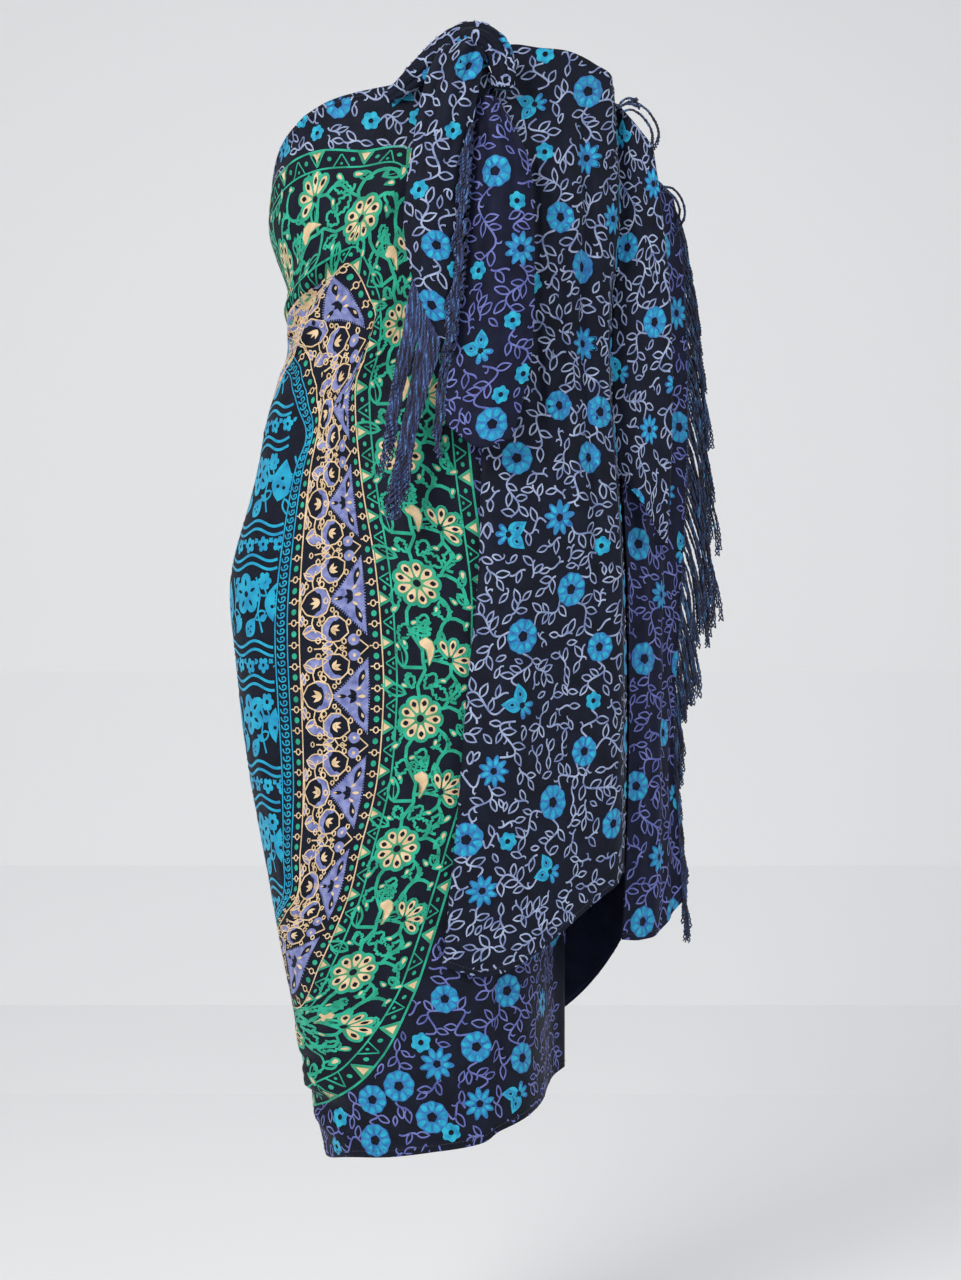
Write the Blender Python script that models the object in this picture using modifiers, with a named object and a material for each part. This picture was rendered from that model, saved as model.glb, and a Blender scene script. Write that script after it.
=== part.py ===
"""Sarong: one fringed length of cloth, wound round the body under the arms and knotted above the bust.

Metres, +Z up, +X to the viewer's right, the front faces -Y.
The origin lies on the body's axis at the height of the top edge.
"""
import bpy
import bmesh
import math
import numpy as np

# Sizes of the cloth
WALL = 0.0016
SEAM = 0.0005
SEAM_RADIUS = 0.2
SQUARENESS = 2.25
ARC_RADIUS = 0.17

# Half widths and depths of the wound cloth at each height
SECTION_COLUMNS = ("height", "left", "right", "front", "back")
SECTIONS = (
    (0.080, 0.150, 0.176, 0.100, 0.080),
    (0.030, 0.162, 0.181, 0.116, 0.088),
    (-0.050, 0.174, 0.186, 0.129, 0.098),
    (-0.102, 0.179, 0.187, 0.131, 0.100),
    (-0.180, 0.157, 0.180, 0.120, 0.098),
    (-0.230, 0.159, 0.178, 0.112, 0.094),
    (-0.290, 0.178, 0.180, 0.110, 0.096),
    (-0.364, 0.193, 0.186, 0.114, 0.108),
    (-0.470, 0.219, 0.192, 0.122, 0.128),
    (-0.560, 0.2125, 0.194, 0.124, 0.134),
    (-0.658, 0.201, 0.194, 0.121, 0.128),
    (-0.757, 0.183, 0.192, 0.117, 0.118),
    (-0.864, 0.1635, 0.186, 0.112, 0.110),
    (-0.963, 0.1425, 0.176, 0.108, 0.105),
    (-1.070, 0.118, 0.166, 0.104, 0.102),
)

# Top edge and hem heights of the wound layer, by angle from the front towards the viewer's left
EDGE_COLUMNS = ("angle", "top", "hem")
EDGES = (
    (-84.0, 0.006, -0.985),
    (-45.0, 0.018, -1.008),
    (0.0, 0.026, -1.040),
    (20.0, 0.018, -1.047),
    (45.0, 0.004, -1.052),
    (70.0, -0.024, -1.060),
    (90.0, -0.056, -1.062),
    (120.0, -0.086, -1.048),
    (180.0, -0.104, -0.996),
    (240.0, -0.080, -0.892),
    (270.0, -0.040, -0.812),
    (286.0, -0.012, -0.735),
)

# Path of the front layer's lower right end, which passes behind the leg
TUCK_COLUMNS = ("share", "across", "depth")
TUCK = (
    (0.00, 0.018, -0.108),
    (0.22, 0.056, -0.098),
    (0.42, 0.088, -0.074),
    (0.58, 0.104, -0.034),
    (0.72, 0.110, 0.004),
    (0.86, 0.117, 0.034),
    (1.00, 0.130, 0.054),
)
TUCK_TOP = -0.56
TUCK_FULL = -0.86
TUCK_FROM = -8.0
TUCK_TO = -84.0
TUCK_BEND = 0.765

# Lap of the wound layer's free end over its start
LAP = 0.0048
LAP_FROM = 250.0
LAP_FULL = 268.0

# Soft ridges and troughs of the wound layer
# Each line holds: angle_a, height_a, angle_b, height_b, width, rise
WRAP_FOLDS = (
    (84.0, -0.205, 20.0, -0.135, 0.014, 0.0065),
    (80.0, -0.245, 24.0, -0.185, 0.020, -0.0040),
    (24.0, -0.138, 8.0, -0.070, 0.012, 0.0050),
    (52.0, 0.010, 6.0, 0.012, 0.009, 0.0035),
    (66.0, -0.040, 12.0, -0.022, 0.010, 0.0030),
    (10.0, -0.200, 6.0, -0.560, 0.022, 0.0040),
    (20.0, -0.360, 14.0, -0.760, 0.026, -0.0040),
    (86.0, -0.945, 30.0, -0.900, 0.016, 0.0050),
    (84.0, -0.975, 24.0, -0.985, 0.012, 0.0070),
    (80.0, -1.010, 36.0, -1.040, 0.014, 0.0045),
    (-6.0, -0.860, -34.0, -1.010, 0.016, 0.0050),
    (-22.0, -0.840, -46.0, -1.000, 0.014, -0.0040),
    (120.0, -0.120, 168.0, -0.300, 0.022, 0.0050),
    (150.0, -0.110, 204.0, -0.330, 0.024, -0.0040),
    (236.0, -0.100, 196.0, -0.260, 0.020, 0.0050),
    (118.0, -0.500, 138.0, -0.980, 0.028, 0.0060),
    (160.0, -0.560, 172.0, -0.940, 0.026, 0.0070),
    (196.0, -0.540, 200.0, -0.910, 0.028, -0.0050),
    (224.0, -0.460, 232.0, -0.850, 0.024, 0.0060),
)
FLAP_FOLDS = (
    (-18.0, 0.030, -26.0, -0.340, 0.011, 0.0060),
    (-26.0, 0.040, -33.0, -0.300, 0.010, -0.0040),
    (-34.0, 0.050, -42.0, -0.420, 0.012, 0.0055),
    (-44.0, 0.040, -49.0, -0.300, 0.011, -0.0040),
    (-52.0, 0.030, -56.0, -0.520, 0.011, 0.0060),
    (-20.0, -0.420, -14.0, -0.780, 0.022, 0.0045),
    (-38.0, -0.460, -32.0, -0.760, 0.024, -0.0040),
    (-54.0, -0.520, -52.0, -0.740, 0.018, 0.0045),
)

# Front flap: left folded edge, top edge and hem by place across the front
FLAP_LEFT_COLUMNS = ("height", "across")
FLAP_LEFT = (
    (0.060, 0.058),
    (-0.040, 0.046),
    (-0.200, 0.040),
    (-0.340, 0.040),
    (-0.451, 0.038),
    (-0.589, 0.026),
    (-0.710, 0.017),
    (-0.855, 0.003),
)
FLAP_EDGE_COLUMNS = ("across", "top", "hem")
FLAP_EDGES = (
    (0.003, 0.040, -0.853),
    (0.044, 0.052, -0.864),
    (0.066, 0.062, -0.858),
    (0.096, 0.061, -0.840),
    (0.127, 0.060, -0.813),
    (0.159, 0.045, -0.785),
    (0.178, 0.028, -0.768),
)
FLAP_RIGHT = 70.0
FLAP_OUT = 0.0105
FLAP_RETURN = 0.038

# Cascade of the loose end at the viewer's right: places of its creases by height
FOLD_STRIP_COLUMNS = ("height", "ridge_x", "ridge_y")
FOLD_STRIP = (
    (0.034, 0.2045, -0.068),
    (-0.077, 0.222, -0.060),
    (-0.180, 0.233, -0.052),
    (-0.334, 0.235, -0.048),
    (-0.433, 0.231, -0.048),
)
FOLD_STRIP_TIP = -0.433
FOLD_STRIP_INNER = -0.362
END_COLUMNS = ("height", "edge_x", "edge_y")
END_LAYER = (
    (0.000, 0.224, 0.000),
    (-0.071, 0.244, 0.016),
    (-0.171, 0.257, 0.024),
    (-0.300, 0.261, 0.026),
    (-0.488, 0.254, 0.024),
    (-0.646, 0.246, 0.024),
    (-0.752, 0.252, 0.026),
    (-0.846, 0.257, 0.026),
)
END_INNER_ANGLE = -74.0
END_INNER_OUT = 0.0078
END_TOP_INNER = 0.000
END_TOP_OUTER = -0.030
END_HEM_INNER = -0.838
END_HEM_OUTER = -0.806

# Tails of the knot: side places and depth by height
TAIL_COLUMNS = ("height", "left", "right", "depth")
FACE_TAIL = (
    (0.034, 0.015, 0.043, -0.1578),
    (0.016, -0.003, 0.041, -0.1720),
    (-0.010, -0.017, 0.036, -0.1750),
    (-0.062, -0.027, 0.028, -0.1760),
    (-0.122, -0.034, 0.021, -0.1740),
    (-0.165, -0.029, 0.019, -0.1700),
    (-0.208, -0.014, 0.017, -0.1660),
    (-0.238, 0.001, 0.014, -0.1630),
)
REVERSE_TAIL = (
    (-0.0010, 0.0360, 0.0580, -0.1635),
    (-0.0300, 0.0330, 0.0740, -0.1680),
    (-0.0600, 0.0310, 0.0870, -0.1700),
    (-0.1100, 0.0290, 0.0920, -0.1690),
    (-0.1740, 0.0250, 0.0930, -0.1660),
    (-0.2230, 0.0180, 0.0920, -0.1630),
    (-0.2850, 0.0070, 0.0850, -0.1600),
    (-0.3280, 0.0060, 0.0720, -0.1585),
)
REVERSE_TAIL_HEM = ((0.0, -0.318), (0.5, -0.342), (1.0, -0.332))
TAIL_CURL = 0.0075

# Knot: path of its wound strap
STRAP_COLUMNS = ("across", "depth", "height", "wide", "thick")
STRAP = (
    (-0.052, -0.1222, 0.006, 0.0060, 0.0030),
    (-0.032, -0.1320, 0.019, 0.0095, 0.0050),
    (-0.012, -0.1420, 0.035, 0.0115, 0.0070),
    (0.010, -0.1500, 0.051, 0.0130, 0.0090),
    (0.034, -0.1530, 0.059, 0.0135, 0.0100),
    (0.054, -0.1530, 0.049, 0.0130, 0.0095),
    (0.063, -0.1530, 0.027, 0.0120, 0.0085),
    (0.061, -0.1520, 0.009, 0.0105, 0.0060),
)
STRAP_SIDES = 16
STRAP_RINGS = 26
STRAP_GROOVES = 5
STRAP_GROOVE = 0.10
CORE_COLUMNS = ("height", "across", "depth", "wide", "thick")
CORE = (
    (-0.024, 0.012, -0.1450, 0.008, 0.0040),
    (-0.014, 0.016, -0.1450, 0.014, 0.0060),
    (0.004, 0.022, -0.1455, 0.022, 0.0074),
    (0.022, 0.027, -0.1455, 0.024, 0.0078),
    (0.034, 0.029, -0.1450, 0.018, 0.0066),
    (0.0444, 0.032, -0.1445, 0.010, 0.0036),
)

# Fringe
STRIP_WIDTH = 0.0045
STRAND_WIDTH = 0.0026
FRINGE_COLUMNS = ("share", "length", "lean")
UPPER_FRINGE = (
    (0.00, 0.050, 0.34),
    (0.20, 0.082, 0.36),
    (0.45, 0.100, 0.34),
    (0.70, 0.115, 0.32),
    (1.00, 0.120, 0.30),
)
LOWER_FRINGE = (
    (0.00, 0.095, 0.26),
    (0.35, 0.060, 0.20),
    (0.60, 0.050, 0.14),
    (1.00, 0.080, 0.12),
)
UPPER_STRANDS = 34
LOWER_STRANDS = 30
FACE_FRINGE = (
    (0.00, 0.100, 0.00),
    (0.40, 0.150, 0.00),
    (0.75, 0.165, 0.00),
    (1.00, 0.120, 0.00),
)
FACE_DRIFT = -0.14
REVERSE_FRINGE = (
    (0.00, 0.034, 0.25),
    (0.50, 0.042, 0.28),
    (1.00, 0.050, 0.20),
)
FACE_STRANDS = 10
REVERSE_STRANDS = 14
STRAND_SEGMENTS = 3

COLOURS = {
    "cloth_wrap": (0.02, 0.16, 0.14, 1.0),
    "cloth_flap": (0.03, 0.10, 0.17, 1.0),
    "cloth_reverse": (0.05, 0.05, 0.16, 1.0),
    "cloth_knot": (0.03, 0.09, 0.14, 1.0),
    "fringe_yarn": (0.03, 0.06, 0.12, 1.0),
}


def columns(names, rows):
    """Gives each named column of a table as an array."""
    data = np.array(rows, dtype=float)
    return {name: data[:, i] for i, name in enumerate(names)}


def smooth(xs, ys, x):
    """Reads a smooth curve through the points of two columns, held flat past the ends."""
    if xs[0] > xs[-1]:
        xs = xs[::-1]
        ys = ys[::-1]
    x = min(max(x, xs[0]), xs[-1])
    i = int(min(max(np.searchsorted(xs, x) - 1, 0), len(xs) - 2))
    slopes = np.gradient(ys, xs)
    h = xs[i + 1] - xs[i]
    t = (x - xs[i]) / h
    a = 2 * t ** 3 - 3 * t ** 2 + 1
    b = t ** 3 - 2 * t ** 2 + t
    c = -2 * t ** 3 + 3 * t ** 2
    d = t ** 3 - t ** 2
    return float(a * ys[i] + b * h * slopes[i] + c * ys[i + 1] + d * h * slopes[i + 1])


def ease(lo, hi, x):
    """Runs smoothly from 0 at lo to 1 at hi."""
    t = min(max((x - lo) / (hi - lo), 0.0), 1.0)
    return t * t * (3 - 2 * t)


BODY = columns(SECTION_COLUMNS, SECTIONS)
EDGE = columns(EDGE_COLUMNS, EDGES)
TUCKED = columns(TUCK_COLUMNS, TUCK)


def ring(height, angle, out=0.0):
    """Point of the wound layer at a height and an angle in degrees, moved outwards."""
    left = smooth(BODY["height"], BODY["left"], height)
    right = smooth(BODY["height"], BODY["right"], height)
    front = smooth(BODY["height"], BODY["front"], height)
    back = smooth(BODY["height"], BODY["back"], height)
    s = math.sin(math.radians(angle))
    c = math.cos(math.radians(angle))
    power = 2.0 / SQUARENESS
    wide = left if s > 0 else right
    deep = front if c > 0 else back
    x = -wide * math.copysign(abs(s) ** power, s)
    y = -deep * math.copysign(abs(c) ** power, c)
    nx = -math.copysign(abs(s) ** (2 - power), s) / wide
    ny = -math.copysign(abs(c) ** (2 - power), c) / deep
    size = math.hypot(nx, ny)
    return np.array([x + out * nx / size, y + out * ny / size, height])


def angle_at(height, across):
    """Angle of the wound layer's front at a place to the viewer's right."""
    right = smooth(BODY["height"], BODY["right"], height)
    share = min(max(across / right, 0.0), 0.995)
    return -math.degrees(math.asin(share ** (SQUARENESS / 2.0)))


def fold_rise(folds, angle, height):
    """Sums the soft ridges and troughs near a place of the layer."""
    total = 0.0
    for angle_a, height_a, angle_b, height_b, width, rise in folds:
        ax = math.radians(angle_a) * ARC_RADIUS
        bx = math.radians(angle_b) * ARC_RADIUS
        px = math.radians(angle) * ARC_RADIUS
        dx = bx - ax
        dz = height_b - height_a
        span = dx * dx + dz * dz
        t = ((px - ax) * dx + (height - height_a) * dz) / span
        held = min(max(t, 0.0), 1.0)
        away = math.hypot(px - ax - held * dx, height - height_a - held * dz)
        fade = ease(-0.02, 0.25, held) * ease(1.02, 0.7, held)
        total += rise * fade * math.exp(-(away / width) ** 2)
    return total


def wound_point(angle, share, out=0.0):
    """Point of the wound layer from its angle and its share of the way down."""
    top = smooth(EDGE["angle"], EDGE["top"], angle)
    hem = smooth(EDGE["angle"], EDGE["hem"], angle)
    height = top + (hem - top) * share
    point = ring(height, angle, out + fold_rise(WRAP_FOLDS, angle, height))
    if angle < TUCK_FROM:
        part = (angle - TUCK_FROM) / (TUCK_TO - TUCK_FROM)
        blend = ease(TUCK_TOP, TUCK_FULL, height) * ease(0.0, 0.25, part)
        x = smooth(TUCKED["share"], TUCKED["across"], part)
        y = smooth(TUCKED["share"], TUCKED["depth"], part)
        point[0] += (x - point[0]) * blend
        point[1] += (y - point[1]) * blend
    return point


def material(name):
    """Makes a plain cloth material of the named colour."""
    found = bpy.data.materials.get(name)
    if found:
        return found
    made = bpy.data.materials.new(name)
    made.use_nodes = True
    shader = made.node_tree.nodes["Principled BSDF"]
    shader.inputs["Base Color"].default_value = COLOURS[name]
    shader.inputs["Roughness"].default_value = 0.75
    made.diffuse_color = COLOURS[name]
    return made


def new_object(name, vertices, faces, slot):
    """Makes a named object from vertices and faces in the part's collection."""
    mesh = bpy.data.meshes.new(name)
    mesh.from_pydata([tuple(map(float, v)) for v in vertices], [], faces)
    mesh.validate()
    made = bpy.data.objects.new(name, mesh)
    mesh.materials.append(material(slot))
    parts.objects.link(made)
    return made


def outward(made):
    """Turns the faces of a closed object outwards."""
    mesh = bmesh.new()
    mesh.from_mesh(made.data)
    bmesh.ops.recalc_face_normals(mesh, faces=mesh.faces)
    if mesh.calc_volume(signed=True) < 0:
        bmesh.ops.reverse_faces(mesh, faces=mesh.faces)
    mesh.to_mesh(made.data)
    mesh.free()


def cloth(name, grid, slot, wall=WALL):
    """Makes a cloth wall of even thickness on a grid of points."""
    rows = len(grid)
    cols = len(grid[0])
    vertices = [point for row in grid for point in row]
    faces = []
    for i in range(rows - 1):
        for j in range(cols - 1):
            a = i * cols + j
            faces.append((a, a + 1, a + cols + 1, a + cols))
    made = new_object(name, vertices, faces, slot)
    shell = made.modifiers.new("wall", "SOLIDIFY")
    shell.thickness = wall
    shell.offset = 0.0
    shell.use_even_offset = True
    shell.use_quality_normals = True
    return made


def wound_panel(name, first, last, rows, cols, upper=0.0, lower=1.0):
    """One stretch of the wound layer between two angles, set just clear of its neighbours.

    upper and lower are its shares of the way down, for a stretch that is divided at a bend.
    """
    grid = []
    inset = SEAM / 2
    start = upper + (inset if upper > 0.0 else 0.0)
    end = lower - (inset if lower < 1.0 else 0.0)
    seam = math.degrees(SEAM / 2 / SEAM_RADIUS)
    turn = 1 if last > first else -1
    for i in range(rows):
        share = start + (end - start) * i / (rows - 1)
        row = []
        for j in range(cols):
            angle = first + turn * seam + (last - first - 2 * turn * seam) * j / (cols - 1)
            point = wound_point(angle, share, LAP * ease(LAP_FROM, LAP_FULL, angle))
            if j == 0 and abs(first - 90.0) < 1e-6:
                point[1] = turn * SEAM / 2
            row.append(point)
        grid.append(row)
    return cloth(name, grid, "cloth_wrap")


def build_wrap():
    """The wound layer: front, the end tucked behind the leg, back and side."""
    wound_panel("wrap_front", 90.0, -4.0, 33, 16)
    wound_panel("wrap_inner", -4.0, -84.0, 26, 13, 0.0, TUCK_BEND)
    wound_panel("wrap_tucked", -4.0, -84.0, 9, 13, TUCK_BEND, 1.0)
    wound_panel("wrap_back", 90.0, 190.0, 27, 13)
    wound_panel("wrap_side", 190.0, 284.0, 27, 12)


FLAP_SIDE = columns(FLAP_LEFT_COLUMNS, FLAP_LEFT)
FLAP_LINE = columns(FLAP_EDGE_COLUMNS, FLAP_EDGES)


def flap_point(part, share):
    """Point of the front flap from its share across and down."""
    height = -0.4
    across = 0.1
    for _ in range(6):
        left = smooth(FLAP_SIDE["height"], FLAP_SIDE["across"], height)
        reach = smooth(BODY["height"], BODY["right"], height)
        reach *= math.sin(math.radians(FLAP_RIGHT)) ** (2.0 / SQUARENESS)
        across = left + (reach - left) * part
        top = smooth(FLAP_LINE["across"], FLAP_LINE["top"], across)
        hem = smooth(FLAP_LINE["across"], FLAP_LINE["hem"], across)
        height = top + (hem - top) * share
    angle = angle_at(height, across)
    lift = fold_rise(FLAP_FOLDS, angle, height)
    ridge = 0.004 * math.exp(-((part - 0.90) / 0.05) ** 2)
    crease = -0.0045 * ease(0.93, 1.0, part)
    return ring(height, angle, FLAP_OUT + lift + ridge + crease)


def build_front_flap():
    """Outer flap of the front with its folded left edge."""
    rows = 29
    cols = 17
    grid = []
    for i in range(rows):
        share = i / (rows - 1)
        row = []
        edge = flap_point(0.0, share)
        angle = angle_at(edge[2], edge[0])
        turn = ((0.0082, FLAP_RETURN), (0.0078, FLAP_RETURN / 2), (0.0064, 0.008))
        for drop, along in turn:
            inside = angle_at(edge[2], edge[0] + along)
            row.append(ring(edge[2], inside, FLAP_OUT - drop))
        row.append(ring(edge[2], angle_at(edge[2], edge[0] + 0.0012), FLAP_OUT - 0.0050))
        row.append(ring(edge[2], angle, FLAP_OUT - 0.0028))
        row.append(ring(edge[2], angle_at(edge[2], edge[0] + 0.0016), FLAP_OUT - 0.0004))
        for j in range(1, cols):
            part = j / (cols - 1)
            row.append(flap_point(0.03 + 0.97 * part, share))
        grid.append(row)
    return cloth("front_flap", grid, "cloth_flap")


STRIP = columns(FOLD_STRIP_COLUMNS, FOLD_STRIP)
LOOSE = columns(END_COLUMNS, END_LAYER)


def build_cascade_fold():
    """Hanging fold of the loose end beside the flap, with its face outwards."""
    rows = 20
    grid = []
    for i in range(rows):
        share = i / (rows - 1)
        row = []
        for k, (mix, lift, low) in enumerate((
                (0.00, 0.0000, FOLD_STRIP_INNER),
                (0.06, -0.0006, FOLD_STRIP_INNER - 0.004),
                (0.30, 0.0010, FOLD_STRIP_INNER - 0.018),
                (0.60, 0.0020, FOLD_STRIP_INNER - 0.040),
                (0.88, 0.0016, FOLD_STRIP_TIP + 0.006),
                (1.00, 0.0000, FOLD_STRIP_TIP))):
            height = 0.024 + 0.008 * mix + (low - 0.024) * share
            start = flap_point(1.0, (0.022 - height) / 0.782)
            before = flap_point(0.97, (0.022 - height) / 0.782)
            along = (start - before)
            along[2] = 0.0
            along = along / np.linalg.norm(along)
            start = start + along * (SEAM + 0.0010)
            start[2] = height
            ridge = np.array([smooth(STRIP["height"], STRIP["ridge_x"], height),
                              smooth(STRIP["height"], STRIP["ridge_y"], height), height])
            point = start + (ridge - start) * mix
            side = np.array([ridge[1] - start[1], start[0] - ridge[0], 0.0])
            side = side / max(np.linalg.norm(side), 1e-6)
            row.append(point + side * lift)
        tip = row[-1]
        for back, shift, inset in ((0.0010, 0.0030, 0.0), (0.0, 0.0056, 0.003), (0.0, 0.0062, 0.012)):
            row.append(tip + np.array([back - inset, shift, 0.0]))
        grid.append(row)
    return cloth("cascade_fold", grid, "cloth_flap")


def end_point(part, share):
    """Point of the loose end's outer layer from its share across and down."""
    top = END_TOP_INNER + (END_TOP_OUTER - END_TOP_INNER) * part
    hem = END_HEM_INNER + (END_HEM_OUTER - END_HEM_INNER) * part - 0.014 * math.sin(math.pi * part)
    height = top + (hem - top) * share
    a = ring(height, END_INNER_ANGLE, END_INNER_OUT)
    b = np.array([smooth(LOOSE["height"], LOOSE["edge_x"], height),
                  smooth(LOOSE["height"], LOOSE["edge_y"], height), height])
    point = a + (b - a) * part
    side = np.array([b[1] - a[1], a[0] - b[0], 0.0])
    side = side / np.linalg.norm(side)
    wave = 0.0035 * math.sin(math.pi * (2.0 * part - 0.3)) * ease(0.0, 0.2, share)
    wave += 0.0030 * math.sin(math.pi * part) * math.sin(3.2 * math.pi * share)
    return point + side * wave


def build_cascade_end():
    """Outermost layer of the loose end, with its reverse towards the front."""
    rows = 29
    cols = 9
    grid = []
    for i in range(rows):
        share = i / (rows - 1)
        grid.append([end_point(j / (cols - 1), share) for j in range(cols)])
    return cloth("cascade_end", grid, "cloth_reverse")


def tail_grid(table, rows, cols, curl_right, pleats, depth, hem=None):
    """Grid of a hanging tail from the places of its sides at each height."""
    data = columns(TAIL_COLUMNS, table)
    first = data["height"][0]
    last = data["height"][-1]
    grid = []
    for i in range(rows):
        share = i / (rows - 1)
        row = []
        for j in range(cols):
            part = j / (cols - 1)
            low = last
            if hem:
                low = smooth(np.array([h[0] for h in hem]), np.array([h[1] for h in hem]), part)
            height = first + (low - first) * share
            left = smooth(data["height"], data["left"], height)
            right = smooth(data["height"], data["right"], height)
            y = smooth(data["height"], data["depth"], height)
            across = left + (right - left) * part
            bulge = TAIL_CURL * (2 * part - 1) ** 2
            if part > 0.5:
                bulge += curl_right * (2 * part - 1) ** 4
            tight = 1.0 - 0.72 * ease(0.0, 0.8, share)
            wave = depth * tight * math.sin(2 * math.pi * pleats * (part + 0.05 * share))
            row.append(np.array([across, y + bulge + wave, height]))
        grid.append(row)
    return grid


def build_tails():
    """The two ends of the knot that hang in front."""
    face = tail_grid(FACE_TAIL, 17, 11, 0.0, 1.5, 0.0022)
    reverse = tail_grid(REVERSE_TAIL, 19, 12, 0.005, 1.5, 0.0018, REVERSE_TAIL_HEM)
    for row in reverse:
        for point in row:
            point[1] += 0.006 * ease(0.058, 0.030, point[0])
    cloth("knot_tail_face", face, "cloth_knot")
    cloth("knot_tail_reverse", reverse, "cloth_reverse")
    return face, reverse


def build_knot():
    """The wound strap of the knot and the bunched cloth inside it."""
    data = columns(STRAP_COLUMNS, STRAP)
    keys = np.linspace(0.0, 1.0, len(STRAP))
    vertices = []
    faces = []
    centres = []
    for i in range(STRAP_RINGS):
        t = i / (STRAP_RINGS - 1)
        centres.append(np.array([smooth(keys, data[n], t) for n in ("across", "depth", "height")]))
    for i in range(STRAP_RINGS):
        t = i / (STRAP_RINGS - 1)
        wide = smooth(keys, data["wide"], t)
        thick = smooth(keys, data["thick"], t)
        ahead = centres[min(i + 1, STRAP_RINGS - 1)] - centres[max(i - 1, 0)]
        ahead = ahead / np.linalg.norm(ahead)
        side = np.cross(ahead, np.array([0.0, 1.0, 0.0]))
        side = side / np.linalg.norm(side)
        face = np.cross(side, ahead)
        for k in range(STRAP_SIDES):
            a = 2 * math.pi * k / STRAP_SIDES
            groove = 1.0 + STRAP_GROOVE * math.cos(STRAP_GROOVES * a + 2.2 * t)
            vertices.append(centres[i] + side * wide * groove * math.cos(a)
                            + face * thick * groove * math.sin(a))
    for i in range(STRAP_RINGS - 1):
        for k in range(STRAP_SIDES):
            a = i * STRAP_SIDES + k
            b = i * STRAP_SIDES + (k + 1) % STRAP_SIDES
            faces.append((a, b, b + STRAP_SIDES, a + STRAP_SIDES))
    faces.append(tuple(range(STRAP_SIDES)))
    last = (STRAP_RINGS - 1) * STRAP_SIDES
    faces.append(tuple(last + k for k in range(STRAP_SIDES)))
    strap = new_object("knot_strap", vertices, faces, "cloth_knot")
    outward(strap)
    core = columns(CORE_COLUMNS, CORE)
    vertices = []
    faces = []
    sides = 12
    rings = 10
    for i in range(rings):
        height = CORE[0][0] + (CORE[-1][0] - CORE[0][0]) * i / (rings - 1)
        x, y, wide, thick = [smooth(core["height"], core[n], height) for n in CORE_COLUMNS[1:]]
        for k in range(sides):
            a = 2 * math.pi * k / sides
            vertices.append((x + wide * math.cos(a), y + thick * math.sin(a), height))
    for i in range(rings - 1):
        for k in range(sides):
            a = i * sides + k
            b = i * sides + (k + 1) % sides
            faces.append((a, b, b + sides, a + sides))
    faces.append(tuple(range(sides)))
    faces.append(tuple((rings - 1) * sides + k for k in range(sides)))
    inner = new_object("knot_core", vertices, faces, "cloth_knot")
    outward(inner)
    return [strap, inner]


def comb(name, edge, outwards, normals, strands, lengths, slot="fringe_yarn"):
    """Fringe: a narrow strip along an edge with hanging strands fused to its outer side.

    edge(share) gives a point of the cloth's edge, outwards and normals give directions there,
    and lengths(share, index) gives a strand's length, its lean, its drift and its step to the front.
    """
    vertices = []
    faces = []
    stations = []
    count = strands * 2 + 1
    for s in range(count):
        k, odd = divmod(s, 2)
        step = 1.0 / strands
        share = k * step
        if odd:
            share += step - STRAND_WIDTH / edge_length(edge)
        share = min(max(share, 0.0), 1.0)
        point = edge(share)
        away = outwards(share)
        front = normals(share)
        base = point + away * (SEAM + 0.0002)
        corners = []
        for reach in (0.0, STRIP_WIDTH):
            for face in (-1, 1):
                vertices.append(base + away * reach + front * face * WALL / 2)
                corners.append(len(vertices) - 1)
        stations.append(corners)
    for s in range(count - 1):
        a = stations[s]
        b = stations[s + 1]
        faces.append((a[0], b[0], b[1], a[1]))
        faces.append((a[0], a[2], b[2], b[0]))
        faces.append((a[1], b[1], b[3], a[3]))
        if s % 2 == 0:
            faces.append((a[2], a[3], b[3], b[2]))
            continue
        k = s // 2
        share = (k + 1.0) / strands
        length, spread, drift, step = lengths(share, k)
        away = outwards(share)
        front = normals(share)
        root = [a[2], a[3], b[3], b[2]]
        middle = sum(vertices[v] for v in root) / 4.0
        previous = root
        half = STRAND_WIDTH / 2
        before = middle
        for n in range(1, STRAND_SEGMENTS + 1):
            t = n / STRAND_SEGMENTS
            out = spread * (1.45 * t - 0.45 * t * t)
            sway = 0.0008 * math.sin(1.7 * k + 3.0 * t)
            centre = middle + away * (0.003 + out * length) + drift * (length * t + sway)
            centre = centre + front * step * ease(0.0, 0.5, t)
            centre = centre + np.array([0.0, 0.0, -length * t])
            hang = centre - before
            hang = hang / np.linalg.norm(hang)
            before = centre
            across = np.cross(hang, front)
            across = across / np.linalg.norm(across)
            deep = np.cross(across, hang)
            thin = half * (1.0 - 0.45 * t)
            now = []
            for u, w in ((-1, -1), (-1, 1), (1, 1), (1, -1)):
                vertices.append(centre + across * u * thin + deep * w * thin * 0.7)
                now.append(len(vertices) - 1)
            best = None
            for turn in range(4):
                for order in (1, -1):
                    test = [now[(turn + order * m) % 4] for m in range(4)]
                    gap = sum(float(np.linalg.norm(vertices[test[m]] - vertices[previous[m]]))
                              for m in range(4))
                    if best is None or gap < best[0]:
                        best = (gap, test)
            now = best[1]
            for m in range(4):
                faces.append((previous[m], previous[(m + 1) % 4], now[(m + 1) % 4], now[m]))
            previous = now
        faces.append(tuple(previous))
    a = stations[0]
    b = stations[-1]
    faces.append((a[0], a[1], a[3], a[2]))
    faces.append((b[0], b[2], b[3], b[1]))
    made = new_object(name, vertices, faces, slot)
    outward(made)
    return made


def edge_length(edge):
    """Length of an edge curve."""
    points = [edge(i / 40) for i in range(41)]
    return sum(float(np.linalg.norm(points[i + 1] - points[i])) for i in range(40))


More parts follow.
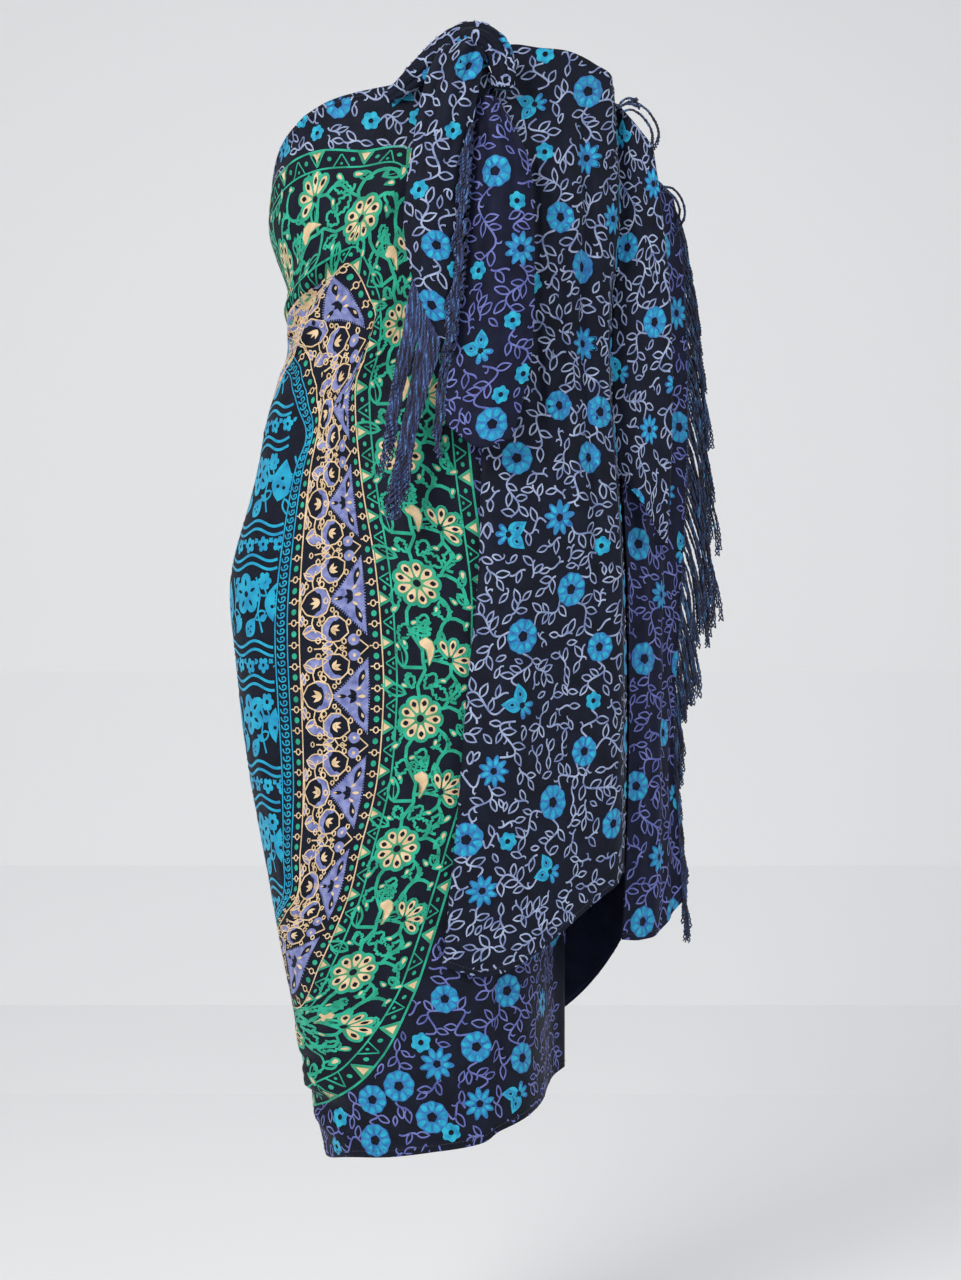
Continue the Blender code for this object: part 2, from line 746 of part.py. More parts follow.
def edge_frame(point_at, inner_at, lo, hi):
    """Point, outward and face directions along a cloth's edge, by share between lo and hi."""
    def edge(share):
        return point_at(lo + (hi - lo) * share)

    def along(at):
        step = point_at(min(at + 0.01, 1.0)) - point_at(max(at - 0.01, 0.0))
        return step / np.linalg.norm(step)

    def away(share):
        at = lo + (hi - lo) * share
        line = along(at)
        out = point_at(at) - inner_at(at)
        out = out - line * float(np.dot(out, line))
        return out / np.linalg.norm(out)

    def front(share):
        normal = np.cross(away(share), along(lo + (hi - lo) * share))
        return normal / np.linalg.norm(normal)

    return edge, away, front


def grid_column(grid, column):
    """Curve along one column of a grid of points."""
    points = np.array([row[column] for row in grid])
    keys = np.linspace(0.0, 1.0, len(points))

    def at(share):
        return np.array([smooth(keys, points[:, i], share) for i in range(3)])

    return at


def build_cascade_fringe():
    """Fringe of the loose end, in an upper and a lower length."""
    spans = (
        ("fringe_upper", 0.03, 0.50, UPPER_STRANDS, UPPER_FRINGE),
        ("fringe_lower", 0.51, 0.97, LOWER_STRANDS, LOWER_FRINGE),
    )
    none = np.zeros(3)
    for name, lo, hi, strands, table in spans:
        data = columns(FRINGE_COLUMNS, table)
        frame = edge_frame(lambda at: end_point(1.0, at), lambda at: end_point(0.94, at), lo, hi)

        def lengths(share, index, data=data):
            uneven = 1.0 + 0.10 * math.sin(2.3 * index) + 0.06 * math.sin(5.1 * index)
            length = smooth(data["share"], data["length"], share) * uneven
            lean = smooth(data["share"], data["lean"], share)
            return length, lean, none, 0.0036 * (1 if index % 2 else -1)

        comb(name, *frame, strands, lengths)


def build_tail_fringe(face, reverse):
    """Fringe on the left edges of the knot's two tails."""
    data = columns(FRINGE_COLUMNS, FACE_FRINGE)
    frame = edge_frame(grid_column(face, 0), grid_column(face, 1), 0.56, 0.97)

    def face_lengths(share, index, data=data):
        length = smooth(data["share"], data["length"], share) * (1.0 + 0.08 * math.sin(2.9 * index))
        lean = smooth(data["share"], data["lean"], share)
        return length, lean, np.array([FACE_DRIFT, 0.0, 0.0]), 0.0018 * (1 if index % 2 else -1)

    comb("fringe_tail_face", *frame, FACE_STRANDS, face_lengths)
    table = columns(FRINGE_COLUMNS, REVERSE_FRINGE)
    frame = edge_frame(grid_column(reverse, 0), grid_column(reverse, 1), 0.20, 0.97)

    def reverse_lengths(share, index, data=table):
        length = smooth(data["share"], data["length"], share) * (1.0 + 0.12 * math.sin(2.1 * index))
        lean = smooth(data["share"], data["lean"], share)
        return length, lean, np.zeros(3), 0.0012 * (1 if index % 2 else -1)

    comb("fringe_tail_reverse", *frame, REVERSE_STRANDS, reverse_lengths)


parts = bpy.data.collections.new("sarong")


def main():
    for old in list(bpy.data.objects):
        bpy.data.objects.remove(old, do_unlink=True)
    bpy.context.scene.collection.children.link(parts)
    build_wrap()
    build_front_flap()
    build_cascade_fold()
    build_cascade_end()
    face, reverse = build_tails()
    build_knot()
    build_cascade_fringe()
    build_tail_fringe(face, reverse)


main()
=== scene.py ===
# %% [markdown]
# # A wound and knotted sarong
# A sarong is one rectangle of printed rayon with a twisted fringe on its short ends. Here it is wound as
# a strapless dress and knotted at its top edge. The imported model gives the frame: every cloth wall here
# follows the same sections and named sizes as the solids, only on a finer grid.

# %% Load the frame
import bpy
import bmesh
import math
import random
import numpy as np
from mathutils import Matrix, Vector


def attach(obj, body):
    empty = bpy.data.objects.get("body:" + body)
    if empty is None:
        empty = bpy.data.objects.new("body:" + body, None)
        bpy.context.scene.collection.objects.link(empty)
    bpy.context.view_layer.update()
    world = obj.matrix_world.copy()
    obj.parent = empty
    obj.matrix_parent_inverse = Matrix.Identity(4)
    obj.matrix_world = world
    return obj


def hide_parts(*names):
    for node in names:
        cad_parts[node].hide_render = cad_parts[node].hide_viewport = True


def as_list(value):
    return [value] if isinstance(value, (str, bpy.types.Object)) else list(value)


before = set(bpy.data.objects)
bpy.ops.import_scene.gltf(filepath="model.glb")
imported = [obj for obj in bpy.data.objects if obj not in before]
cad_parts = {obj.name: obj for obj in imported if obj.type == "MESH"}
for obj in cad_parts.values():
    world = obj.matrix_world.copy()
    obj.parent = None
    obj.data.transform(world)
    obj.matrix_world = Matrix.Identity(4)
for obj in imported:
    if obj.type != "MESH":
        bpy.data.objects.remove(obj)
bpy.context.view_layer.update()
print("nodes", sorted(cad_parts))

# %% [markdown]
# ## Camera and light
# The camera looks level along +Y from 2.4 m. A pixel of the photograph is a millimetre at 2.3 m from it,
# which is the front of the cloth. One large soft lamp from the upper left gives the folds their shade, a
# weaker one fills the right, and a pale floor that curves up behind keeps the ground plain.

# %% Camera
PHOTO_WIDTH = 961
PHOTO_HEIGHT = 1280
VIEW_DISTANCE = 2.4
MILLIMETRE_DISTANCE = 2.3
VIEW_ACROSS = 0.0405
VIEW_HEIGHT = -0.53
SENSOR = 24.0


def added(name, data):
    """Makes an object of some data and puts it in the scene."""
    made = bpy.data.objects.new(name, data)
    bpy.context.scene.collection.objects.link(made)
    return made


camera_data = bpy.data.cameras.new("camera")
camera_data.sensor_fit = "VERTICAL"
camera_data.sensor_height = SENSOR
camera_data.lens = SENSOR * MILLIMETRE_DISTANCE / (PHOTO_HEIGHT / 1000)
camera = added("camera", camera_data)
camera.location = (VIEW_ACROSS, -VIEW_DISTANCE, VIEW_HEIGHT)
camera.rotation_euler = (math.pi / 2, 0.0, 0.0)
bpy.context.scene.camera = camera


def soft_lamp(name, place, aim, size, power, colour):
    """A square area lamp that faces a point."""
    data = bpy.data.lights.new(name, "AREA")
    data.size = size
    data.energy = power
    data.color = colour
    lamp = added(name, data)
    lamp.location = place
    lamp.rotation_euler = (Vector(aim) - Vector(place)).to_track_quat("-Z", "Y").to_euler()


soft_lamp("key_lamp", (-1.5, -2.3, 1.0), (0, 0, -0.4), 1.2, 56, (1.0, 0.98, 0.95))
soft_lamp("fill_lamp", (2.1, -1.9, 0.2), (0, 0, -0.5), 1.6, 17, (0.95, 0.97, 1.0))
soft_lamp("top_lamp", (0.2, 0.6, 1.9), (0, 0, -0.3), 1.6, 15, (1.0, 1.0, 1.0))
world = bpy.data.worlds.new("studio")
world.use_nodes = True
world.node_tree.nodes["Background"].inputs["Color"].default_value = (0.93, 0.95, 1.0, 1.0)
world.node_tree.nodes["Background"].inputs["Strength"].default_value = 0.50
bpy.context.scene.world = world
bpy.context.scene.view_settings.view_transform = "Standard"
print("camera at", tuple(camera.location))


# %% Floor
def pale_floor():
    """A floor that curves up into a backdrop."""
    rows = []
    for y, z in ((-4.0, -1.32), (1.6, -1.32), (2.2, -1.26), (2.6, -1.02), (2.8, -0.6), (2.86, 3.0)):
        rows.append([(-5.0, y, z), (5.0, y, z)])
    mesh = bpy.data.meshes.new("floor")
    faces = [(2 * i, 2 * i + 1, 2 * i + 3, 2 * i + 2) for i in range(len(rows) - 1)]
    mesh.from_pydata([p for row in rows for p in row], [], faces)
    floor = added("floor", mesh)
    paint = bpy.data.materials.new("floor_white")
    paint.use_nodes = True
    shader = paint.node_tree.nodes["Principled BSDF"]
    shader.inputs["Base Color"].default_value = (0.92, 0.92, 0.92, 1.0)
    shader.inputs["Roughness"].default_value = 0.9
    mesh.materials.append(paint)


pale_floor()

# %% [markdown]
# ## Sections of the wound cloth
# The wound cloth is a shaped tube, so its form is a stack of rounded sections. A short table
# gives the half widths and depths at each height, and a smooth curve through each column gives the
# heights between. The numbers are the ones the solids were made from.

# %% Tables shared with the solids
SQUARENESS = 2.25
ARC_RADIUS = 0.17
BODY_NAMES = ("height", "left", "right", "front", "back")
BODY_ROWS = (
    (0.080, 0.150, 0.176, 0.100, 0.080),
    (0.030, 0.162, 0.181, 0.116, 0.088),
    (-0.050, 0.174, 0.186, 0.129, 0.098),
    (-0.102, 0.179, 0.187, 0.131, 0.100),
    (-0.180, 0.157, 0.180, 0.120, 0.098),
    (-0.230, 0.159, 0.178, 0.112, 0.094),
    (-0.290, 0.178, 0.180, 0.110, 0.096),
    (-0.364, 0.193, 0.186, 0.114, 0.108),
    (-0.470, 0.219, 0.192, 0.122, 0.128),
    (-0.560, 0.2125, 0.194, 0.124, 0.134),
    (-0.658, 0.201, 0.194, 0.121, 0.128),
    (-0.757, 0.183, 0.192, 0.117, 0.118),
    (-0.864, 0.1635, 0.186, 0.112, 0.110),
    (-0.963, 0.1425, 0.176, 0.108, 0.105),
    (-1.070, 0.118, 0.166, 0.104, 0.102),
)
EDGE_NAMES = ("angle", "top", "hem")
EDGE_ROWS = (
    (-84.0, 0.006, -0.985),
    (-45.0, 0.018, -1.008),
    (0.0, 0.026, -1.040),
    (20.0, 0.018, -1.047),
    (45.0, 0.004, -1.052),
    (70.0, -0.024, -1.060),
    (90.0, -0.056, -1.062),
    (120.0, -0.086, -1.048),
    (180.0, -0.104, -0.996),
    (240.0, -0.080, -0.892),
    (270.0, -0.040, -0.812),
    (286.0, -0.012, -0.735),
)
TUCK_NAMES = ("share", "across", "depth")
TUCK_ROWS = (
    (0.00, 0.018, -0.108),
    (0.22, 0.056, -0.098),
    (0.42, 0.088, -0.074),
    (0.58, 0.104, -0.034),
    (0.72, 0.110, 0.004),
    (0.86, 0.117, 0.034),
    (1.00, 0.130, 0.054),
)
TUCK_TOP = -0.56
TUCK_FULL = -0.86
TUCK_FROM = -8.0
TUCK_TO = -84.0


def columns(names, rows):
    """Gives each named column of a table as an array."""
    data = np.array(rows, dtype=float)
    return {name: data[:, i] for i, name in enumerate(names)}


def smooth(xs, ys, x):
    """Reads a smooth curve through two columns at many places at once, flat past its ends."""
    xs = np.asarray(xs, float)
    ys = np.asarray(ys, float)
    if xs[0] > xs[-1]:
        xs = xs[::-1]
        ys = ys[::-1]
    x = np.clip(np.asarray(x, float), xs[0], xs[-1])
    i = np.clip(np.searchsorted(xs, x) - 1, 0, len(xs) - 2)
    slopes = np.gradient(ys, xs)
    h = xs[i + 1] - xs[i]
    t = (x - xs[i]) / h
    a = 2 * t ** 3 - 3 * t ** 2 + 1
    b = t ** 3 - 2 * t ** 2 + t
    c = -2 * t ** 3 + 3 * t ** 2
    d = t ** 3 - t ** 2
    return a * ys[i] + b * h * slopes[i] + c * ys[i + 1] + d * h * slopes[i + 1]


def ease(lo, hi, x):
    """Runs smoothly from 0 at lo to 1 at hi."""
    t = np.clip((np.asarray(x, float) - lo) / (hi - lo), 0.0, 1.0)
    return t * t * (3 - 2 * t)


BODY = columns(BODY_NAMES, BODY_ROWS)
EDGE = columns(EDGE_NAMES, EDGE_ROWS)
TUCK = columns(TUCK_NAMES, TUCK_ROWS)


def ring(height, angle, out):
    """Points of the wound layer at heights and angles, moved outwards."""
    left, right, front, back = (smooth(BODY["height"], BODY[n], height) for n in BODY_NAMES[1:])
    s = np.sin(np.radians(angle))
    c = np.cos(np.radians(angle))
    power = 2.0 / SQUARENESS
    wide = np.where(s > 0, left, right)
    deep = np.where(c > 0, front, back)
    x = -wide * np.sign(s) * np.abs(s) ** power
    y = -deep * np.sign(c) * np.abs(c) ** power
    nx = -np.sign(s) * np.abs(s) ** (2 - power) / wide
    ny = -np.sign(c) * np.abs(c) ** (2 - power) / deep
    size = np.hypot(nx, ny)
    return np.stack([x + out * nx / size, y + out * ny / size, height + 0 * x], axis=-1)


print("section tables hold", len(BODY_ROWS), "heights")

# %% [markdown]
# ## Folds
# Pulled cloth shows soft ridges and troughs. Each is given as a line on the layer, from one
# angle and height to another, with its own width and rise. The large ones are the solids' own, and the
# finer creases that run to the knot, the waist and the pinched hem are added here.

# %% Folds listed one by one
WRAP_FOLDS = (
    (84.0, -0.205, 20.0, -0.135, 0.014, 0.0065),
    (80.0, -0.245, 24.0, -0.185, 0.020, -0.0040),
    (24.0, -0.138, 8.0, -0.070, 0.012, 0.0050),
    (52.0, 0.010, 6.0, 0.012, 0.009, 0.0035),
    (66.0, -0.040, 12.0, -0.022, 0.010, 0.0030),
    (10.0, -0.200, 6.0, -0.560, 0.022, 0.0040),
    (20.0, -0.360, 14.0, -0.760, 0.026, -0.0040),
    (86.0, -0.945, 30.0, -0.900, 0.016, 0.0050),
    (84.0, -0.975, 24.0, -0.985, 0.012, 0.0070),
    (80.0, -1.010, 36.0, -1.040, 0.014, 0.0045),
    (-6.0, -0.860, -34.0, -1.010, 0.016, 0.0050),
    (-22.0, -0.840, -46.0, -1.000, 0.014, -0.0040),
    (120.0, -0.120, 168.0, -0.300, 0.022, 0.0050),
    (150.0, -0.110, 204.0, -0.330, 0.024, -0.0040),
    (236.0, -0.100, 196.0, -0.260, 0.020, 0.0050),
    (118.0, -0.500, 138.0, -0.980, 0.028, 0.0060),
    (160.0, -0.560, 172.0, -0.940, 0.026, 0.0070),
    (196.0, -0.540, 200.0, -0.910, 0.028, -0.0050),
    (224.0, -0.460, 232.0, -0.850, 0.024, 0.0060),
)
WRAP_CREASES = (
    (60.0, -0.004, 4.0, 0.002, 0.0045, 0.0022),
    (72.0, -0.034, 6.0, -0.008, 0.0045, -0.0020),
    (84.0, -0.066, 8.0, -0.034, 0.0060, 0.0022),
    (86.0, -0.092, 16.0, -0.052, 0.0070, -0.0016),
    (88.0, -0.222, 26.0, -0.158, 0.0050, -0.0024),
    (88.0, -0.268, 40.0, -0.222, 0.0070, 0.0020),
    (86.0, -0.320, 52.0, -0.300, 0.0080, 0.0016),
    (34.0, -0.470, 30.0, -0.800, 0.0120, 0.0016),
    (48.0, -0.520, 42.0, -0.860, 0.0120, -0.0014),
    (66.0, -0.560, 58.0, -0.900, 0.0110, 0.0016),
    (88.0, -0.955, 50.0, -0.948, 0.0040, -0.0022),
    (88.0, -0.968, 44.0, -0.972, 0.0040, 0.0026),
    (88.0, -0.992, 40.0, -1.004, 0.0045, -0.0026),
    (88.0, -1.004, 56.0, -1.030, 0.0045, 0.0020),
    (-10.0, -0.880, -30.0, -0.960, 0.0055, -0.0020),
    (-16.0, -0.930, -40.0, -1.005, 0.0060, 0.0018),
    (100.0, -0.170, 150.0, -0.240, 0.0100, 0.0020),
    (176.0, -0.150, 224.0, -0.290, 0.0100, 0.0020),
    (246.0, -0.180, 210.0, -0.330, 0.0090, -0.0018),
    (104.0, -0.620, 116.0, -1.000, 0.0120, 0.0020),
    (148.0, -0.620, 154.0, -0.960, 0.0100, -0.0018),
    (182.0, -0.600, 186.0, -0.900, 0.0110, 0.0020),
    (210.0, -0.520, 214.0, -0.860, 0.0110, 0.0018),
)
FLAP_FOLDS = (
    (-18.0, 0.030, -26.0, -0.340, 0.011, 0.0060),
    (-26.0, 0.040, -33.0, -0.300, 0.010, -0.0040),
    (-44.0, 0.040, -49.0, -0.300, 0.011, -0.0040),
    (-20.0, -0.420, -14.0, -0.780, 0.022, 0.0045),
    (-38.0, -0.460, -32.0, -0.760, 0.024, -0.0040),
    (-54.0, -0.520, -52.0, -0.740, 0.018, 0.0045),
)
FLAP_STEPS = (
    (-26.0, 0.050, -35.0, -0.420, 0.020, 0.0070),
    (-38.0, 0.056, -43.0, -0.500, 0.018, 0.0080),
    (-50.0, 0.050, -54.0, -0.600, 0.016, 0.0080),
    (-12.0, -0.360, -20.0, -0.800, 0.026, 0.0045),
)
FLAP_SHARP = 0.30
FLAP_CREASES = (
    (-16.0, 0.046, -40.0, 0.020, 0.0050, 0.0020),
    (-15.0, 0.030, -44.0, -0.030, 0.0050, -0.0018),
    (-15.0, 0.012, -36.0, -0.110, 0.0055, 0.0022),
    (-22.0, -0.020, -30.0, -0.250, 0.0045, 0.0018),
    (-38.0, -0.040, -44.0, -0.330, 0.0045, -0.0016),
    (-58.0, -0.060, -60.0, -0.620, 0.0060, 0.0024),
    (-11.0, -0.560, -7.0, -0.800, 0.0080, 0.0018),
    (-28.0, -0.520, -22.0, -0.820, 0.0100, -0.0014),
)
STEP_CREASES = (
    (84.0, -0.232, 24.0, -0.128, 0.020, 0.0105),
    (16.0, -0.172, 28.0, -0.290, 0.018, 0.0075),
    (78.0, -0.190, 40.0, -0.128, 0.012, 0.0035),
    (80.0, -0.262, 46.0, -0.196, 0.013, 0.0040),
    (46.0, -0.215, 34.0, -0.330, 0.012, 0.0030),
    (88.0, -0.962, 44.0, -0.944, 0.010, 0.0060),
    (88.0, -0.992, 38.0, -0.984, 0.009, 0.0055),
)


def fold_rise(folds, angle, height, sharp=1.0, grown=0.25, fading=0.7):
    """Sums ridges and troughs at many places of a layer. One side of each falls away as sharply as told."""
    total = np.zeros(np.broadcast(angle, height).shape)
    px = np.radians(angle) * ARC_RADIUS
    for angle_a, height_a, angle_b, height_b, width, rise in folds:
        ax = math.radians(angle_a) * ARC_RADIUS
        dx = math.radians(angle_b) * ARC_RADIUS - ax
        dz = height_b - height_a
        t = ((px - ax) * dx + (height - height_a) * dz) / (dx * dx + dz * dz)
        held = np.clip(t, 0.0, 1.0)
        away = np.hypot(px - ax - held * dx, height - height_a - held * dz)
        wide = np.where(dx * (height - height_a) - dz * (px - ax) < 0.0, width, sharp * width)
        fade = ease(-0.02, grown, held) * ease(1.02, fading, held)
        total += rise * fade * np.exp(-(away / wide) ** 2)
    return total


def step_rise(folds, angle, height, sharp=0.16):
    """Sums creases that are full on one side and fall away sharply on the other."""
    return fold_rise(folds, angle, height, sharp, 0.30, 0.75)


def wound_points(angle, share, out):
    """Points of the wound layer from angles and shares of the way down."""
    top = smooth(EDGE["angle"], EDGE["top"], angle)
    hem = smooth(EDGE["angle"], EDGE["hem"], angle)
    height = top + (hem - top) * share
    rise = fold_rise(WRAP_FOLDS, angle, height) + fold_rise(WRAP_CREASES, angle, height)
    rise += step_rise(STEP_CREASES, angle, height)
    points = ring(height, angle, out + rise)
    part = (angle - TUCK_FROM) / (TUCK_TO - TUCK_FROM)
    blend = ease(TUCK_TOP, TUCK_FULL, height) * ease(0.0, 0.25, part) * (angle < TUCK_FROM)
    for axis, name in ((0, "across"), (1, "depth")):
        goal = smooth(TUCK["share"], TUCK[name], part)
        points[..., axis] += (goal - points[..., axis]) * blend
    return points


print(len(WRAP_FOLDS + FLAP_FOLDS), "large folds,", len(WRAP_CREASES + FLAP_CREASES), "fine creases,",
      len(STEP_CREASES + FLAP_STEPS), "steps")

# %% [markdown]
# ## Cloth grids
# A cloth is kept as a grid of points with two print coordinates at each point: how far across and how
# far down the flat cloth it lies, in metres. The grid makes the wall, and the print finds its place on
# the wall by reading those coordinates backwards. Normals of the grid point to the printed side.

# %% A cloth grid
MISS = 0.0014
SEARCH_STEPS = 14
LONGEST_STEP = 20


class Cloth:
    """A grid of cloth points with print coordinates and outward normals."""

    def __init__(self, points, across, down, flip=False):
        self.points = points
        self.across = across
        self.down = down
        du = np.gradient(points, axis=1)
        dv = np.gradient(points, axis=0)
        normals = np.cross(dv, du)
        size = np.linalg.norm(normals, axis=-1, keepdims=True)
        self.normals = normals / np.maximum(size, 1e-12) * (-1.0 if flip else 1.0)
        self.flip = flip

    def read(self, data, i, j):
        """Reads grid data between its points."""
        rows, cols = self.across.shape
        i = np.clip(i, 0, rows - 1.001)
        j = np.clip(j, 0, cols - 1.001)
        a = i.astype(int)
        b = j.astype(int)
        s = i - a
        t = j - b
        if data.ndim == 3:
            s = s[:, None]
            t = t[:, None]
        return ((data[a, b] * (1 - t) + data[a, b + 1] * t) * (1 - s)
                + (data[a + 1, b] * (1 - t) + data[a + 1, b + 1] * t) * s)

    def slopes(self, data, i, j):
        """Change of grid data for a step along a row and for a step down a column."""
        along = (self.read(data, i, j + 1) - self.read(data, i, j - 1)) / 2
        below = (self.read(data, i + 1, j) - self.read(data, i - 1, j)) / 2
        return along, below

    def place(self, flat, lift):
        """Puts flat print points on the cloth, and says which of them lie on it."""
        rows, cols = self.across.shape
        u, v = flat.T
        j = first_guess(u, self.across[rows // 2])
        i = first_guess(v, self.down[:, cols // 2])
        for _ in range(SEARCH_STEPS):
            du = u - self.read(self.across, i, j)
            dv = v - self.read(self.down, i, j)
            uj, ui = self.slopes(self.across, i, j)
            vj, vi = self.slopes(self.down, i, j)
            det = uj * vi - ui * vj
            det = np.where(np.abs(det) < 1e-9, 1e-9, det)
            step_j = np.clip((du * vi - ui * dv) / det, -LONGEST_STEP, LONGEST_STEP)
            step_i = np.clip((uj * dv - vj * du) / det, -LONGEST_STEP, LONGEST_STEP)
            j = np.clip(j + step_j, 0, cols - 1.001)
            i = np.clip(i + step_i, 0, rows - 1.001)
        miss = np.hypot(u - self.read(self.across, i, j), v - self.read(self.down, i, j))
        normals = self.read(self.normals, i, j)
        normals /= np.maximum(np.linalg.norm(normals, axis=1, keepdims=True), 1e-9)
        return self.read(self.points, i, j) + normals * lift[:, None], miss < MISS

    def seen(self, chart):
        """Print coordinates of places charted in pixels where the camera sees them."""
        x, y, z = (self.points[..., k].ravel() for k in range(3))
        depth = (VIEW_DISTANCE + y) / MILLIMETRE_DISTANCE
        right = PHOTO_WIDTH / 2 + (x - VIEW_ACROSS) * 1000 / depth
        down = PHOTO_HEIGHT / 2 - (z - VIEW_HEIGHT) * 1000 / depth
        facing = self.normals[..., 1].ravel() < 0.0
        found = []
        for px, py in chart:
            away = np.hypot(right - px, down - py) + np.where(facing, 0.0, 1e3)
            k = int(np.argmin(away))
            found.append((self.across.ravel()[k], self.down.ravel()[k]))
        return np.array(found)

    def flowers(self, chart):
        """Flowers of a chart, with their places on the flat cloth."""
        places = self.seen([row[:2] for row in chart])
        return [(u, v, row[2]) for (u, v), row in zip(places, chart)]


def first_guess(values, line):
    """Roughly where along one line of a grid some values lie."""
    order = np.argsort(line)
    return np.interp(values, line[order], np.arange(len(line))[order].astype(float))


def lengths_along(line):
    """Length along a line of points up to each of them."""
    return np.concatenate([[0.0], np.cumsum(np.linalg.norm(np.diff(line, axis=0), axis=1))])


def row_lengths(points):
    """Length along each row of a grid from its first column."""
    steps = np.linalg.norm(np.diff(points, axis=1), axis=-1)
    return np.concatenate([np.zeros((len(points), 1)), np.cumsum(steps, axis=1)], axis=1)


# %% Grids of the wound layer
WRAP_STEP = 0.0046
WRAP_LENGTH = 1.05
WRAP_GIRTH_PER_DEGREE = 0.56 / 174.0
SIDE_ANGLE = 90.0
START_ANGLE = -84.0
END_ANGLE = 284.0
LAP = 0.0048
LAP_FROM = 250.0
LAP_FULL = 268.0
HEM_LINES = (0.0006, 0.0030, 0.0054, 0.0060, 0.0066)


def denser(count, low, high, middle, spread, gain):
    """Numbers from low to high that lie closer together near the middle given."""
    x = np.linspace(low, high, 2000)
    room = np.cumsum(1.0 + gain * np.exp(-((x - middle) / spread) ** 2))
    return np.interp(np.linspace(room[0], room[-1], count), room, x)


def shares(count, hem, gain=0.0):
    """Rows of a cloth from its top to its hem, with extra rows where the hems are turned."""
    even = denser(count, 0.0, 1.0, 0.19, 0.10, gain)
    turned = np.array(HEM_LINES) / hem
    return np.unique(np.round(np.concatenate([even, turned, 1.0 - turned]), 6))


def turned_hem(share, length, rise=0.0006):
    """Extra rise of the cloth where its edge is turned under and sewn."""
    away = np.minimum(share, 1.0 - share) * length
    return rise * ease(0.0068, 0.0056, away)


def wound_grid(first, last):
    """Grid of one stretch of the wound layer, its print measured from the front's middle line."""
    front = last < 0.0
    share = shares(int(1.08 / WRAP_STEP), WRAP_LENGTH, 1.6 if front else 0.0)[:, None]
    cols = int(abs(last - first) * WRAP_GIRTH_PER_DEGREE / WRAP_STEP)
    angle = denser(cols, 0.0, 1.0, 0.27, 0.16, 0.9 if front else 0.0)[None, :]
    angle = first + (last - first) * angle + 0 * share
    share = share + 0 * angle
    lap = LAP * ease(LAP_FROM, LAP_FULL, angle)
    points = wound_points(angle, share, lap + turned_hem(share, WRAP_LENGTH))
    lengths = row_lengths(points)
    turn = 1.0 if front else -1.0
    zero = np.zeros(len(angle))
    if front:
        zero = np.array([np.interp(0.0, -angle[r], lengths[r]) for r in range(len(angle))])
    across = (lengths - zero[:, None]) * turn
    return Cloth(points, across, points[..., 2].copy(), flip=not front)


front_cloth = wound_grid(SIDE_ANGLE, START_ANGLE)
back_cloth = wound_grid(SIDE_ANGLE, END_ANGLE)
back_cloth.across += front_cloth.across[:, :1]
for label, sheet in (("front", front_cloth), ("back", back_cloth)):
    print(label, "grid", sheet.across.shape, "lies from", sheet.across.min().round(3), "to",
          sheet.across.max().round(3), "m across the print")

# %% [markdown]
# ## The flap
# The last stretch of the cloth crosses the front again and hangs free at its left, where its edge is
# folded back on itself. Its rows start inside that fold, go round the edge and then cross the front, so
# the fold is one unbroken sheet and not a second piece laid beside it.

# %% The flap's grid
FLAP_LEFT = columns(("height", "across"), (
    (0.060, 0.058), (-0.040, 0.046), (-0.200, 0.040), (-0.340, 0.040),
    (-0.451, 0.038), (-0.589, 0.026), (-0.710, 0.017), (-0.855, 0.003)))
FLAP_LINE = columns(("across", "top", "hem"), (
    (0.003, 0.040, -0.853), (0.044, 0.052, -0.864), (0.066, 0.062, -0.858), (0.096, 0.061, -0.840),
    (0.127, 0.060, -0.813), (0.159, 0.045, -0.785), (0.178, 0.028, -0.768)))
FLAP_RIGHT = 70.0
FLAP_OUT = 0.0105
FLAP_RETURN = 0.038
FLAP_LENGTH = 0.9
FLAP_ROWS = 150
FLAP_COLUMNS = 92


def angle_at(height, across):
    """Angle of the wound layer's front at places to the viewer's right."""
    right = smooth(BODY["height"], BODY["right"], height)
    share = np.clip(across / right, 0.0, 0.995)
    return -np.degrees(np.arcsin(share ** (SQUARENESS / 2.0)))


def flap_points(part, share):
    """Points of the front flap from shares across and down."""
    height = -0.4 + 0 * part
    for _ in range(8):
        left = smooth(FLAP_LEFT["height"], FLAP_LEFT["across"], height)
        reach = smooth(BODY["height"], BODY["right"], height)
        reach = reach * math.sin(math.radians(FLAP_RIGHT)) ** (2.0 / SQUARENESS)
        across = left + (reach - left) * part
        top = smooth(FLAP_LINE["across"], FLAP_LINE["top"], across)
        hem = smooth(FLAP_LINE["across"], FLAP_LINE["hem"], across)
        height = top + (hem - top) * share
    angle = angle_at(height, across)
    out = FLAP_OUT + fold_rise(FLAP_FOLDS, angle, height) + fold_rise(FLAP_CREASES, angle, height)
    out = out + step_rise(FLAP_STEPS, angle, height, FLAP_SHARP)
    out = out + 0.004 * np.exp(-((part - 0.90) / 0.05) ** 2) - 0.0045 * ease(0.93, 1.0, part)
    return ring(height, angle, out + turned_hem(share, FLAP_LENGTH))


